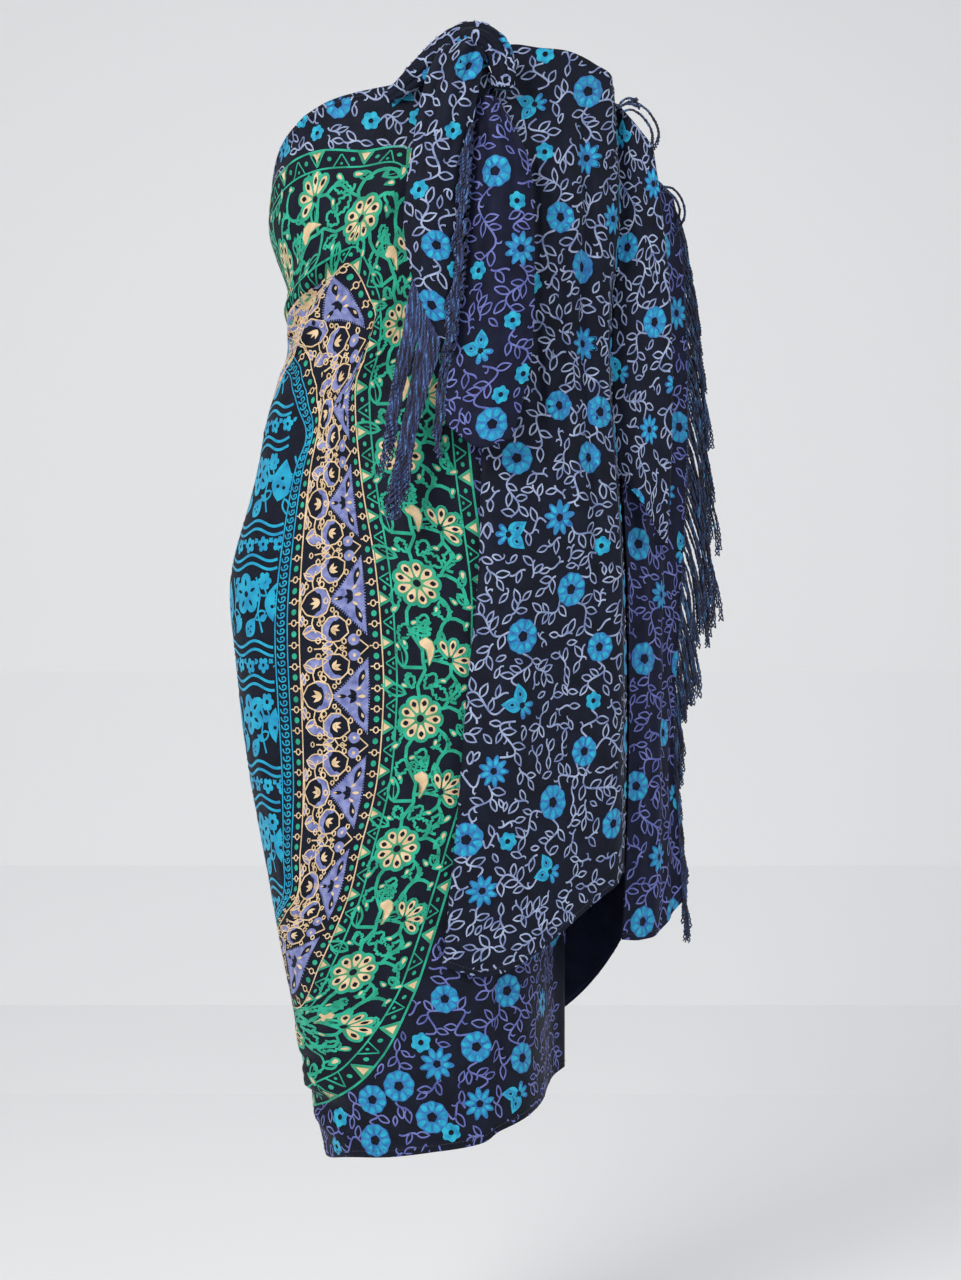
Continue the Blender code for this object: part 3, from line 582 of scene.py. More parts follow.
def flap_grid():
    """Grid of the flap, from inside its folded left edge to its right end."""
    share = shares(FLAP_ROWS, FLAP_LENGTH)
    main = np.linspace(0.03, 1.0, FLAP_COLUMNS)
    body = flap_points(main[None, :] + 0 * share[:, None], share[:, None] + 0 * main[None, :])
    edge = flap_points(np.zeros((len(share), 1)), share[:, None])[:, 0]
    turn = [(along, np.interp(along, (0.003, 0.010, 0.020, 0.038), (0.0056, 0.0066, 0.0078, 0.0082)))
            for along in np.linspace(FLAP_RETURN, 0.003, 9)]
    turn += [(0.0012, 0.0050), (0.0003, 0.0040), (0.0, 0.0028), (0.0003, 0.0015), (0.0016, 0.0004)]
    folded = [ring(edge[:, 2], angle_at(edge[:, 2], edge[:, 0] + along), FLAP_OUT - drop)
              for along, drop in turn]
    points = np.concatenate([np.stack(folded, axis=1), body], axis=1)
    lengths = row_lengths(points)
    return Cloth(points, lengths - lengths[:, 11:12], points[..., 2].copy())


flap_cloth = flap_grid()
print("flap grid", flap_cloth.across.shape, "is", flap_cloth.across.max().round(3), "m wide in front")

# %% [markdown]
# ## The loose end
# Beyond the flap the cloth turns back on itself and hangs from the knot at the side: a narrow fold with
# its printed face outwards, and behind it the last stretch, which shows its reverse. Both are read from
# short tables of where their creases lie at each height, and then drawn through with a smooth curve.

# %% Grids of the loose end
FOLD_STRIP = columns(("height", "x", "y"), (
    (0.034, 0.2045, -0.068), (-0.077, 0.222, -0.060), (-0.180, 0.233, -0.052),
    (-0.334, 0.235, -0.048), (-0.433, 0.231, -0.048)))
FOLD_ACROSS = (
    (0.00, 0.0000, -0.362), (0.06, -0.0006, -0.366), (0.30, 0.0010, -0.380),
    (0.60, 0.0020, -0.402), (0.88, 0.0016, -0.427), (1.00, 0.0000, -0.433))
END_LAYER = columns(("height", "x", "y"), (
    (0.000, 0.224, 0.000), (-0.071, 0.244, 0.016), (-0.171, 0.257, 0.024), (-0.300, 0.261, 0.026),
    (-0.488, 0.254, 0.024), (-0.646, 0.246, 0.024), (-0.752, 0.252, 0.026), (-0.846, 0.257, 0.026)))


def refine(grid, rows, cols):
    """Draws a coarse grid of points again with many rows and columns."""
    grid = np.array(grid)
    steps = np.linalg.norm(np.diff(grid, axis=1), axis=-1).mean(axis=0)
    across = np.concatenate([[0.0], np.cumsum(steps)]) / steps.sum()
    down = np.linspace(0.0, 1.0, len(grid))
    tall = np.stack([np.stack([smooth(down, grid[:, j, k], np.linspace(0, 1, rows)) for k in range(3)],
                              axis=-1) for j in range(grid.shape[1])], axis=1)
    return np.stack([np.stack([smooth(across, tall[i, :, k], np.linspace(0, 1, cols)) for k in range(3)],
                              axis=-1) for i in range(rows)], axis=0)


def fold_grid():
    """Grid of the hanging fold beside the flap."""
    rows = []
    for share in np.linspace(0.0, 1.0, 24):
        row = []
        for mix, lift, low in FOLD_ACROSS:
            height = 0.020 - 0.046 * mix ** 1.3
            height += (low - height) * share
            down = np.array([(0.022 - height) / 0.782])
            start = flap_points(np.array([1.0]), down)[0]
            along = start - flap_points(np.array([0.97]), down)[0]
            along[2] = 0.0
            start = start + along / np.linalg.norm(along) * 0.0015
            start[2] = height
            ridge = np.array([smooth(FOLD_STRIP["height"], FOLD_STRIP[n], height) for n in ("x", "y")]
                             + [height])
            side = np.array([ridge[1] - start[1], start[0] - ridge[0], 0.0])
            row.append(start + (ridge - start) * mix + side / max(np.linalg.norm(side), 1e-6) * lift)
        for back, shift, inset in ((0.0010, 0.0030, 0.0), (0.0, 0.0056, 0.003), (0.0, 0.0062, 0.012)):
            row.append(row[5] + np.array([back - inset, shift, 0.0]))
        rows.append(row)
    return rows


END_INNER_ANGLE = -74.0
END_INNER_OUT = 0.0078
END_LENGTH = 0.83


def end_points(part, share):
    """Points of the last stretch of the loose end from shares across and down."""
    top = -0.020 - 0.042 * part
    hem = -0.838 + 0.032 * part - 0.014 * np.sin(math.pi * part)
    height = top + (hem - top) * share
    a = ring(height, END_INNER_ANGLE + 0 * part, END_INNER_OUT)
    b = np.stack([smooth(END_LAYER["height"], END_LAYER["x"], height),
                  smooth(END_LAYER["height"], END_LAYER["y"], height), height], axis=-1)
    side = np.stack([b[..., 1] - a[..., 1], a[..., 0] - b[..., 0], 0 * height], axis=-1)
    side /= np.linalg.norm(side, axis=-1, keepdims=True)
    wave = 0.0035 * np.sin(math.pi * (2.0 * part - 0.3)) * ease(0.0, 0.2, share)
    wave += 0.0030 * np.sin(math.pi * part) * np.sin(3.2 * math.pi * share)
    wave += 0.0012 * np.sin(math.pi * (7.0 * part + 1.4 * share)) * ease(0.05, 0.4, share)
    return a + (b - a) * part[..., None] + side * wave[..., None]


def flat_cloth(points, flip=False):
    """A cloth whose print runs along its rows and down its height."""
    return Cloth(points, row_lengths(points), points[..., 2].copy(), flip)


fold_cloth = flat_cloth(refine(fold_grid(), 100, 26))
end_share = shares(190, END_LENGTH)[:, None]
end_part = np.linspace(0.0, 1.0, 26)[None, :]
end_cloth = flat_cloth(end_points(end_part + 0 * end_share, end_share + 0 * end_part))
print("fold", fold_cloth.across.max().round(3), "m wide, last stretch", end_cloth.across.max().round(3), "m")

# %% [markdown]
# ## Tails of the knot
# The two corners that come out of the knot hang in front. Each is a long tongue of cloth, pleated where
# the knot grips it, opening out below, with its sides curling back. One shows its face, the other its
# reverse.

# %% Grids of the tails
TAIL_NAMES = ("height", "left", "right", "depth")
FACE_TAIL = columns(TAIL_NAMES, (
    (0.0600, 0.0120, 0.0470, -0.1520), (0.0500, 0.0030, 0.0470, -0.1610), (0.0340, -0.0055, 0.0440, -0.1670),
    (0.0160, -0.0120, 0.0410, -0.1720), (-0.0100, -0.0180, 0.0360, -0.1750),
    (-0.062, -0.027, 0.028, -0.1760), (-0.122, -0.034, 0.021, -0.1740), (-0.165, -0.029, 0.019, -0.1700),
    (-0.208, -0.014, 0.017, -0.1660), (-0.238, 0.001, 0.014, -0.1630)))
REVERSE_TAIL = columns(TAIL_NAMES, (
    (-0.0010, 0.0360, 0.0580, -0.1635), (-0.0300, 0.0330, 0.0740, -0.1680),
    (-0.0600, 0.0310, 0.0870, -0.1700), (-0.1100, 0.0290, 0.0920, -0.1690),
    (-0.1740, 0.0250, 0.0930, -0.1660), (-0.2230, 0.0180, 0.0920, -0.1630),
    (-0.2850, 0.0070, 0.0850, -0.1600), (-0.3280, 0.0060, 0.0720, -0.1585)))
TAIL_CURL = 0.0075


def tail_points(table, rows, cols, curl_right, depth, low, pinch=0.0):
    """Grid points of a tail from the places of its sides at each height."""
    share = np.linspace(0.0, 1.0, rows)[:, None] + np.zeros((1, cols))
    part = np.linspace(0.0, 1.0, cols)[None, :] + np.zeros((rows, 1))
    height = table["height"][0] + (low[None, :] - table["height"][0]) * share
    left, right, y = (smooth(table["height"], table[n], height) for n in TAIL_NAMES[1:])
    bulge = TAIL_CURL * (2 * part - 1) ** 2 + np.where(part > 0.5, curl_right * (2 * part - 1) ** 4, 0)
    tight = 1.0 - 0.72 * ease(0.0, 0.8, share)
    wave = depth * tight * np.sin(2 * math.pi * 1.5 * (part + 0.05 * share))
    fine = 0.0009 * tight * np.sin(2 * math.pi * (4.3 * part + 0.4 * share) + 1.0)
    fine += 0.0005 * np.sin(2 * math.pi * (2.6 * part + 0.9 * share) + 2.0)
    pleat = np.abs(np.sin(math.pi * (2.7 * part + 1.1 * share))) ** 0.5
    fine -= pinch * ease(0.46, 0.06, share) * pleat
    return np.stack([left + (right - left) * part, y + bulge + wave + fine, height], axis=-1)


FACE_COLUMNS = 46
REVERSE_COLUMNS = 40
face_low = np.full(FACE_COLUMNS, -0.238)
face_points = tail_points(FACE_TAIL, 90, FACE_COLUMNS, 0.0, 0.0022, face_low, 0.0038)
reverse_low = smooth((0.0, 0.5, 1.0), (-0.318, -0.342, -0.332), np.linspace(0, 1, REVERSE_COLUMNS))
reverse_points = tail_points(REVERSE_TAIL, 110, REVERSE_COLUMNS, 0.005, 0.0018, reverse_low)
reverse_points[..., 1] += 0.006 * ease(0.058, 0.030, reverse_points[..., 0])
face_tail = flat_cloth(face_points)
reverse_tail = flat_cloth(reverse_points)
print("tails", face_points.shape, reverse_points.shape)

# %% [markdown]
# ## Knot
# The knot is one band of pleated cloth that climbs over the bunched cloth and goes down behind the
# tails. It is a swept section: a ring of points with small pleats round it, carried along a curve. The
# pleats turn slowly along the band, which is what makes cloth look wrung and not like a tube.

# %% Grids of the knot
STRAP = columns(("across", "depth", "height", "wide", "thick"), (
    (-0.052, -0.1222, 0.006, 0.0060, 0.0030), (-0.032, -0.1320, 0.019, 0.0095, 0.0050),
    (-0.012, -0.1420, 0.035, 0.0115, 0.0070), (0.010, -0.1500, 0.051, 0.0130, 0.0090),
    (0.034, -0.1530, 0.059, 0.0135, 0.0100), (0.054, -0.1530, 0.049, 0.0130, 0.0095),
    (0.063, -0.1530, 0.027, 0.0120, 0.0085), (0.061, -0.1520, 0.009, 0.0105, 0.0060)))
CORE = columns(("height", "across", "depth", "wide", "thick"), (
    (-0.024, 0.012, -0.1450, 0.008, 0.0040), (-0.014, 0.016, -0.1450, 0.014, 0.0060),
    (0.004, 0.022, -0.1455, 0.022, 0.0074), (0.022, 0.027, -0.1455, 0.024, 0.0078),
    (0.034, 0.029, -0.1450, 0.018, 0.0066), (0.0444, 0.032, -0.1445, 0.010, 0.0036)))


def strap_grid(rings, sides):
    """Rings of the band, with pleats that turn along it."""
    keys = np.linspace(0.0, 1.0, 8)
    t = np.linspace(0.0, 1.0, rings)
    centre = np.stack([smooth(keys, STRAP[n], t) for n in ("across", "depth", "height")], axis=-1)
    wide = smooth(keys, STRAP["wide"], t)[:, None, None]
    thick = smooth(keys, STRAP["thick"], t)[:, None, None]
    ahead = np.gradient(centre, axis=0)
    ahead /= np.linalg.norm(ahead, axis=1, keepdims=True)
    side = np.cross(ahead, np.array([0.0, 1.0, 0.0]))
    side /= np.linalg.norm(side, axis=1, keepdims=True)
    face = np.cross(side, ahead)
    a = np.linspace(0.0, 2 * math.pi, sides + 1)[None, :]
    pleat = 0.985 + 0.07 * np.cos(5 * a + 2.2 * t[:, None])
    pleat += 0.22 * np.abs(np.sin(3.5 * (a + 1.5 * t[:, None] ** 1.4))) ** 0.55 - 0.17
    pleat += 0.020 * np.cos(14 * a - 5.0 * t[:, None])
    pleat[:, -1] = pleat[:, 0]
    return (centre[:, None, :] + side[:, None, :] * (wide[..., 0] * pleat * np.cos(a))[..., None]
            + face[:, None, :] * (thick[..., 0] * pleat * np.sin(a))[..., None])


def core_grid(rings, sides):
    """Rings of the bunched cloth inside the knot."""
    height = np.linspace(CORE["height"][0], CORE["height"][-1], rings)
    x, y, wide, thick = (smooth(CORE["height"], CORE[n], height)[:, None]
                         for n in ("across", "depth", "wide", "thick"))
    a = np.linspace(0.0, 2 * math.pi, sides + 1)[None, :]
    pleat = 1.0 + 0.06 * np.cos(9 * a + 20.0 * height[:, None]) - 0.02
    return np.stack([x + wide * pleat * np.cos(a), y + thick * pleat * np.sin(a),
                     height[:, None] + 0 * a], axis=-1)


def round_cloth(points):
    """A closed band of cloth with its normals turned outwards."""
    lengths = row_lengths(points)
    down = lengths_along(points.mean(axis=1))
    made = Cloth(points, lengths, -down[:, None] + 0 * lengths)
    out = points - points.mean(axis=1, keepdims=True)
    if (made.normals * out).sum() < 0:
        made.normals = -made.normals
        made.flip = True
    return made


strap_cloth = round_cloth(strap_grid(90, 98))
core_cloth = round_cloth(core_grid(40, 48))
print("band", strap_cloth.across.max().round(3), "m round at its widest")

# %% [markdown]
# ## Dyes and weave
# Printed rayon is a plain weave of fine threads, a little slubby, and its dyes sit unevenly: darker
# where a colour pooled, paler in streaks. One node group makes that unevenness and the thread relief
# from the flat cloth's own coordinates, and every dye and the black ground use it with their own values.

# %% Building blocks of a node tree
def feed(tree, made, inputs):
    """Sets or links the inputs of a node from values and sockets."""
    for key, value in inputs.items():
        if hasattr(value, "is_output"):
            tree.links.new(value, made.inputs[key])
        else:
            made.inputs[key].default_value = value
    return made


def node(tree, kind, inputs=None, **settings):
    """Adds a node, makes its settings and feeds its inputs."""
    made = tree.nodes.new(kind)
    for key, value in settings.items():
        setattr(made, key, value)
    return feed(tree, made, inputs or {})


def math_node(tree, operation, *values):
    """Result of a math node on numbers or sockets."""
    return node(tree, "ShaderNodeMath", dict(enumerate(values)), operation=operation).outputs[0]


# %% The shared weave group
def linear(colour):
    """Turns a screen colour from 0 to 255 into the linear values a shader reads."""
    part = [c / 255 for c in colour]
    return tuple(c / 12.92 if c <= 0.04045 else ((c + 0.055) / 1.055) ** 2.4 for c in part) + (1.0,)


def dyed_weave_group():
    """Uneven dye and thread relief, read from the cloth's flat coordinates."""
    group = bpy.data.node_groups.new("dyed_weave", "ShaderNodeTree")
    for name, kind, value in (("Deep", "NodeSocketColor", (0, 0, 0, 1)),
                              ("Bright", "NodeSocketColor", (1, 1, 1, 1)),
                              ("Streak Scale", "NodeSocketFloat", 60.0),
                              ("Threads", "NodeSocketFloat", 1500.0),
                              ("Slub", "NodeSocketFloat", 0.5)):
        group.interface.new_socket(name, in_out="INPUT", socket_type=kind).default_value = value
    for name, kind in (("Color", "NodeSocketColor"), ("Height", "NodeSocketFloat"),
                       ("Roughness", "NodeSocketFloat")):
        group.interface.new_socket(name, in_out="OUTPUT", socket_type=kind)
    given = node(group, "NodeGroupInput").outputs
    flat = node(group, "ShaderNodeUVMap", uv_map="flat").outputs["UV"]
    streak = node(group, "ShaderNodeTexNoise", {
        "Vector": flat, "Scale": given["Streak Scale"], "Detail": 3.0})
    spread = node(group, "ShaderNodeMapRange", {
        "Value": streak.outputs["Fac"], "From Min": 0.34, "From Max": 0.66})
    mix = node(group, "ShaderNodeMix", {
        "Factor": spread.outputs["Result"], 6: given["Deep"], 7: given["Bright"]}, data_type="RGBA")
    apart = node(group, "ShaderNodeSeparateXYZ", {"Vector": flat}).outputs
    waves = [math_node(group, "SINE", math_node(group, "MULTIPLY", apart[axis], given["Threads"]))
             for axis in ("X", "Y")]
    stretch = node(group, "ShaderNodeMapping", {"Vector": flat, "Scale": (420.0, 38.0, 1.0)})
    slub = node(group, "ShaderNodeTexNoise", {
        "Vector": stretch.outputs["Vector"], "Scale": 1.0, "Detail": 2.0}).outputs["Fac"]
    relief = math_node(group, "MULTIPLY_ADD", slub, given["Slub"], math_node(group, "MULTIPLY", *waves))
    rough = node(group, "ShaderNodeMapRange", {"Value": slub, "To Min": 0.58, "To Max": 0.78})
    node(group, "NodeGroupOutput", {
        "Color": mix.outputs[2], "Height": relief, "Roughness": rough.outputs["Result"]})
    return group


weave_group = dyed_weave_group()
THREAD_DEPTH = 0.0004


def dyed(name, deep, bright, streaks=60.0, sheen=0.12, relief=0.35, gloss=0.3):
    """A cloth material in one dye."""
    made = bpy.data.materials.new(name)
    made.use_nodes = True
    tree = made.node_tree
    weave = node(tree, "ShaderNodeGroup", {
        "Deep": linear(deep), "Bright": linear(bright), "Streak Scale": streaks},
                 node_tree=weave_group).outputs
    bump = node(tree, "ShaderNodeBump", {
        "Strength": relief, "Distance": THREAD_DEPTH, "Height": weave["Height"]})
    feed(tree, tree.nodes["Principled BSDF"], {
        "Sheen Weight": sheen, "Sheen Roughness": 0.5, "Specular IOR Level": gloss,
        "Base Color": weave["Color"], "Roughness": weave["Roughness"], "Normal": bump.outputs["Normal"]})
    made.diffuse_color = linear(bright)
    return made


# %% Dyes
DYES = {
    "ground": dyed("dye_black_ground", (7, 12, 26), (15, 22, 40), 45.0, 0.03, 0.35, 0.16),
    "back": dyed("dye_black_reverse", (9, 13, 34), (19, 24, 50), 45.0, 0.03, 0.35, 0.16),
    "lilac": dyed("dye_lilac_line", (104, 118, 164), (168, 182, 212), 70.0),
    "violet": dyed("dye_violet_line", (74, 82, 150), (116, 124, 190), 70.0),
    "cyan": dyed("dye_cyan", (8, 128, 174), (40, 180, 208), 130.0),
    "blue": dyed("dye_mid_blue", (28, 92, 156), (52, 132, 190), 110.0),
    "green": dyed("dye_green", (22, 140, 112), (36, 180, 146), 60.0),
    "leaf": dyed("dye_leaf_green", (48, 132, 94), (84, 164, 118), 60.0),
    "cream": dyed("dye_cream", (206, 176, 134), (236, 208, 168), 80.0),
    "lavender": dyed("dye_lavender", (92, 100, 158), (140, 148, 198), 120.0),
    "teal": dyed("dye_field_cyan", (8, 136, 182), (24, 172, 206), 60.0),
}
print(len(DYES), "dyes share the group", weave_group.name)

# %% [markdown]
# ## The print as laid ink
# A shader could draw the print, but its hundreds of leaves, petals and rings would need a very large
# node tree and would blur when the model is exported. So each motif is drawn on the flat cloth as thin
# strokes and fills, and is then laid on the cloth's grid a fraction of a millimetre above the threads,
# where it follows every fold. Motifs are charted from circles, almonds and curls.

# %% Strokes and fills
STROKE_STEP = 0.0030
FILL_STEP = 0.0034
INK_LIFT = 0.00090
INK_LAYER = 0.00007


def even_points(points, closed=False, step=STROKE_STEP):
    """Places points evenly along a line."""
    points = np.asarray(points, float)
    if closed:
        points = np.vstack([points, points[:1]])
    run = lengths_along(points)
    count = max(int(math.ceil(run[-1] / step)), 2)
    at = np.linspace(0.0, run[-1], count + 1)
    if closed:
        at = at[:-1]
    return np.stack([np.interp(at, run, points[:, k]) for k in range(2)], axis=1)


class Print:
    """Inked shapes on the flat cloth, kept as triangles with a dye and a layer."""

    def __init__(self):
        self.points = []
        self.layers = []
        self.faces = []
        self.inks = []
        self.count = 0

    def add(self, points, faces, ink, layer):
        """Keeps one shape."""
        self.points.append(points)
        self.layers.append(np.full(len(points), float(layer)))
        self.faces.append(faces + self.count)
        self.inks += [ink] * len(faces)
        self.count += len(points)

    def stroke(self, points, width, ink, closed=False, layer=1, taper=False):
        """Draws a line of even width."""
        line = even_points(points, closed)
        n = len(line)
        ahead = (np.roll(line, -1, 0) - np.roll(line, 1, 0)) if closed else np.gradient(line, axis=0)
        ahead /= np.maximum(np.linalg.norm(ahead, axis=1, keepdims=True), 1e-9)
        side = np.stack([-ahead[:, 1], ahead[:, 0]], axis=1) * width / 2
        if taper:
            side *= np.linspace(1.0, 0.35, n)[:, None]
        a = np.arange(n if closed else n - 1)
        b = (a + 1) % n
        faces = np.concatenate([np.stack([a, a + n, b + n], 1), np.stack([a, b + n, b], 1)])
        self.add(np.vstack([line + side, line - side]), faces, ink, layer)

    def fill(self, points, ink, layer=1):
        """Fills a shape that its middle sees all of."""
        loop = np.asarray(points, float)
        turn = np.roll(loop, -1, 0)
        if (loop[:, 0] * turn[:, 1] - loop[:, 1] * turn[:, 0]).sum() < 0:
            loop = loop[::-1]
        centre = loop.mean(axis=0)
        rings = max(int(math.ceil(np.linalg.norm(loop - centre, axis=1).max() / FILL_STEP)), 1)
        n = len(loop)
        points = [centre[None, :]] + [centre + (loop - centre) * r / rings for r in range(1, rings + 1)]
        a = np.arange(n)
        b = (a + 1) % n
        faces = [np.stack([0 * a, a + 1, b + 1], 1)]
        for r in range(1, rings):
            lo = 1 + (r - 1) * n
            hi = 1 + r * n
            faces += [np.stack([a + lo, a + hi, b + hi], 1), np.stack([a + lo, b + hi, b + lo], 1)]
        self.add(np.vstack(points), np.concatenate(faces), ink, layer)

    def collar(self, outer, inner, ink, layer=1):
        """Fills between two loops with as many points each."""
        n = len(outer)
        a = np.arange(n)
        b = (a + 1) % n
        middle = (outer + inner) / 2
        faces = []
        for lo in (0, n):
            faces += [np.stack([a + lo + n, a + lo, b + lo], 1),
                      np.stack([a + lo + n, b + lo, b + lo + n], 1)]
        self.add(np.vstack([outer, middle, inner]), np.concatenate(faces), ink, layer)

    def take(self, other):
        """Adds all shapes of another print."""
        self.points += other.points
        self.layers += other.layers
        self.faces += [faces + self.count for faces in other.faces]
        self.inks += other.inks
        self.count += other.count


def lay_print(name, cloth, art, lift=INK_LIFT, side=1.0, swap=None):
    """Lays a print on a cloth as a thin mesh, and leaves out what falls beside the cloth."""
    points = np.vstack(art.points)
    lifts = (lift + np.concatenate(art.layers) * INK_LAYER) * side
    faces = np.concatenate(art.faces)
    inks = np.array([(swap or {}).get(i, i) for i in art.inks])
    low = np.array([cloth.across.min(), cloth.down.min()]) - 0.004
    high = np.array([cloth.across.max(), cloth.down.max()]) + 0.004
    near = ((points > low) & (points < high)).all(axis=1)
    keep = near[faces].all(axis=1)
    used = np.unique(faces[keep])
    placed = np.zeros((len(points), 3))
    good = np.zeros(len(points), bool)
    placed[used], good[used] = cloth.place(points[used], lifts[used])
    keep &= good[faces].all(axis=1)
    faces = faces[keep]
    inks = inks[keep]
    used = np.unique(faces)
    index = np.zeros(len(points), int)
    index[used] = np.arange(len(used))
    faces = index[faces]
    if side < 0:
        faces = faces[:, ::-1]
    names = sorted(set(inks))
    mesh = bpy.data.meshes.new(name)
    mesh.from_pydata(placed[used].tolist(), [], faces.tolist())
    mesh.polygons.foreach_set("material_index", np.array([names.index(i) for i in inks]))
    for ink in names:
        mesh.materials.append(DYES[ink])
    flat = mesh.uv_layers.new(name="flat")
    flat.data.foreach_set("uv", points[used][faces.ravel()].ravel())
    mesh.shade_smooth()
    made = added(name, mesh)
    print(name, len(faces), "triangles in", len(names), "dyes")
    return made


# %% Small shapes
def toward(place, reach, angle):
    """Place at a distance from another one in some direction."""
    return place[0] + reach * math.cos(angle), place[1] + reach * math.sin(angle)


def turned(points, place, angle=0.0, size=1.0):
    """Turns, sizes and moves a small shape."""
    c, s = math.cos(angle) * size, math.sin(angle) * size
    points = np.asarray(points, float)
    return np.stack([points[:, 0] * c - points[:, 1] * s + place[0],
                     points[:, 0] * s + points[:, 1] * c + place[1]], axis=1)


def almond(length, width, count=14, blunt=0.8):
    """Leaf shape from its stalk at the origin to its tip."""
    t = np.linspace(0.0, 1.0, count // 2 + 1)
    half = width / 2 * np.sin(math.pi * t ** blunt)
    return np.vstack([np.stack([t * length, half], 1), np.stack([t * length, -half], 1)[-2:0:-1]])


def teardrop(length, width, count=14):
    """Petal shape, narrow at the origin and round at its end."""
    a = np.linspace(0.0, 2 * math.pi, count, endpoint=False)
    x = (1.0 - np.cos(a)) / 2
    return np.stack([x * length, np.sin(a) * width / 2 * (0.35 + 0.65 * x)], 1)


def lobed(radius, lobes, depth, count, sharp=1.0, phase=0.0):
    """Round outline with lobes."""
    a = np.linspace(0.0, 2 * math.pi, count, endpoint=False)
    wave = np.abs(np.cos(lobes / 2 * (a + phase))) ** sharp
    r = radius * (1.0 - depth + depth * wave)
    return np.stack([r * np.cos(a), r * np.sin(a)], 1)


def curl(size, turns=0.8, hand=1.0):
    """Small hook that winds in at its end."""
    t = np.linspace(0.0, 1.0, 12)
    a = t * turns * 2 * math.pi
    r = size * (1.0 - 0.72 * t)
    x = size * 1.1 * t ** 0.5
    return np.stack([x + r * np.sin(a) * 0.55, hand * (size - r * np.cos(a)) * 0.62], 1)


print("shapes ready")

# %% [markdown]
# ## The vine field
# The field is one vine: flowers about seven centimetres apart, joined by bending stems that carry
# hollow leaves on both sides, with hooks and small sprigs in the gaps. Its leaves are grown by rule: a
# coarse map of what is already inked keeps them apart, and a fixed seed keeps them the same each time.

# %% Flowers of the vine
def ring_flower(art, place, radius, turn):
    """Scalloped flower with an open middle."""
    lobes = 9
    outer = turned(lobed(radius, lobes, 0.10, 45, 0.7), place, turn)
    inner = turned(lobed(radius * 0.31, 5, 0.16, 45), place, turn + 0.3)
    art.collar(outer, inner, "blue")
    for k in range(lobes):
        a = turn + 2 * math.pi * k / lobes
        root = toward(place, 0.40 * radius, a)
        art.fill(turned(teardrop(radius * 0.54, radius * 0.50, 10), root, a), "cyan", 2)


def star_flower(art, place, radius, turn):
    """Flower of nine pointed petals."""
    points = 9
    outer = turned(lobed(radius * 1.06, points, 0.40, 54, 1.5), place, turn)
    inner = turned(lobed(radius * 0.24, 5, 0.12, 54), place, turn)
    art.collar(outer, inner, "blue")
    for k in range(points):
        a = turn + 2 * math.pi * k / points
        root = toward(place, 0.34 * radius, a)
        art.fill(turned(almond(radius * 0.58, radius * 0.26, 10), root, a), "cyan", 2)


def wing_flower(art, place, radius, turn):
    """Flower seen from the side, with two large eyed petals and small ones behind."""
    for a in (2.4, 3.14, 3.9):
        art.fill(turned(teardrop(radius * 0.80, radius * 0.46, 12), place, turn + a), "blue")
        art.fill(turned(teardrop(radius * 0.62, radius * 0.26, 10), place, turn + a), "cyan", 2)
    for a in (0.62, -0.62):
        art.fill(turned(almond(radius * 1.28, radius * 0.86, 18, 0.72), place, turn + a), "cyan", 2)
        root = toward(place, 0.34 * radius, turn + a)
        art.stroke(turned(almond(radius * 0.66, radius * 0.40, 14), root, turn + a), 0.0010, "blue", True, 3)
        eye = toward(place, 0.52 * radius, turn + a)
        art.fill(turned(almond(radius * 0.26, radius * 0.16, 8), eye, turn + a), "ground", 4)
    art.fill(turned(lobed(radius * 0.20, 5, 0.2, 10), place, turn), "ground", 4)


def small_flower(art, place, radius, turn):
    """Small flower of six round petals."""
    outer = turned(lobed(radius, 6, 0.28, 30, 0.8), place, turn)
    inner = turned(lobed(radius * 0.28, 3, 0.05, 30), place, turn)
    art.collar(outer, inner, "cyan")


FLOWERS = {"ring": ring_flower, "star": star_flower, "wing": wing_flower, "small": small_flower}


# %% Growing the vine
class Inked:
    """Coarse map of what is already inked, so that leaves stay apart."""

    def __init__(self, low, high, cell=0.0015):
        self.low = np.array(low)
        self.cell = cell
        self.size = np.ceil((np.array(high) - self.low) / cell).astype(int) + 1
        self.map = np.zeros(self.size, bool)

    def cells(self, points, radius):
        """Cells within a square distance of some points."""
        reach = int(round(radius / self.cell))
        at = ((np.asarray(points) - self.low) / self.cell).astype(int)
        for x, y in at:
            if 0 <= x < self.size[0] and 0 <= y < self.size[1]:
                yield slice(max(x - reach, 0), x + reach + 1), slice(max(y - reach, 0), y + reach + 1)

    def mark(self, points, radius):
        """Marks places as inked."""
        for x, y in self.cells(points, radius):
            self.map[x, y] = True

    def free(self, points, radius):
        """True where nothing is inked near any of the points."""
        return not any(self.map[x, y].any() for x, y in self.cells(points, radius))


def hollow_leaf(art, inked, place, angle, length, width, ink, allowed, line=0.0016):
    """One outlined leaf, if there is room for it."""
    shape = turned(almond(length, width, 12, 0.86), place, angle)
    spine = turned([(length * t, 0.0) for t in (0.55, 0.8, 1.05)], place, angle)
    if not (inked.free(spine, width * 0.28) and allowed(shape).all()):
        return False
    art.stroke(shape, line, ink, True)
    inked.mark(turned([(length * t, 0.0) for t in (0.3, 0.55, 0.8)], place, angle), width * 0.34)
    return True


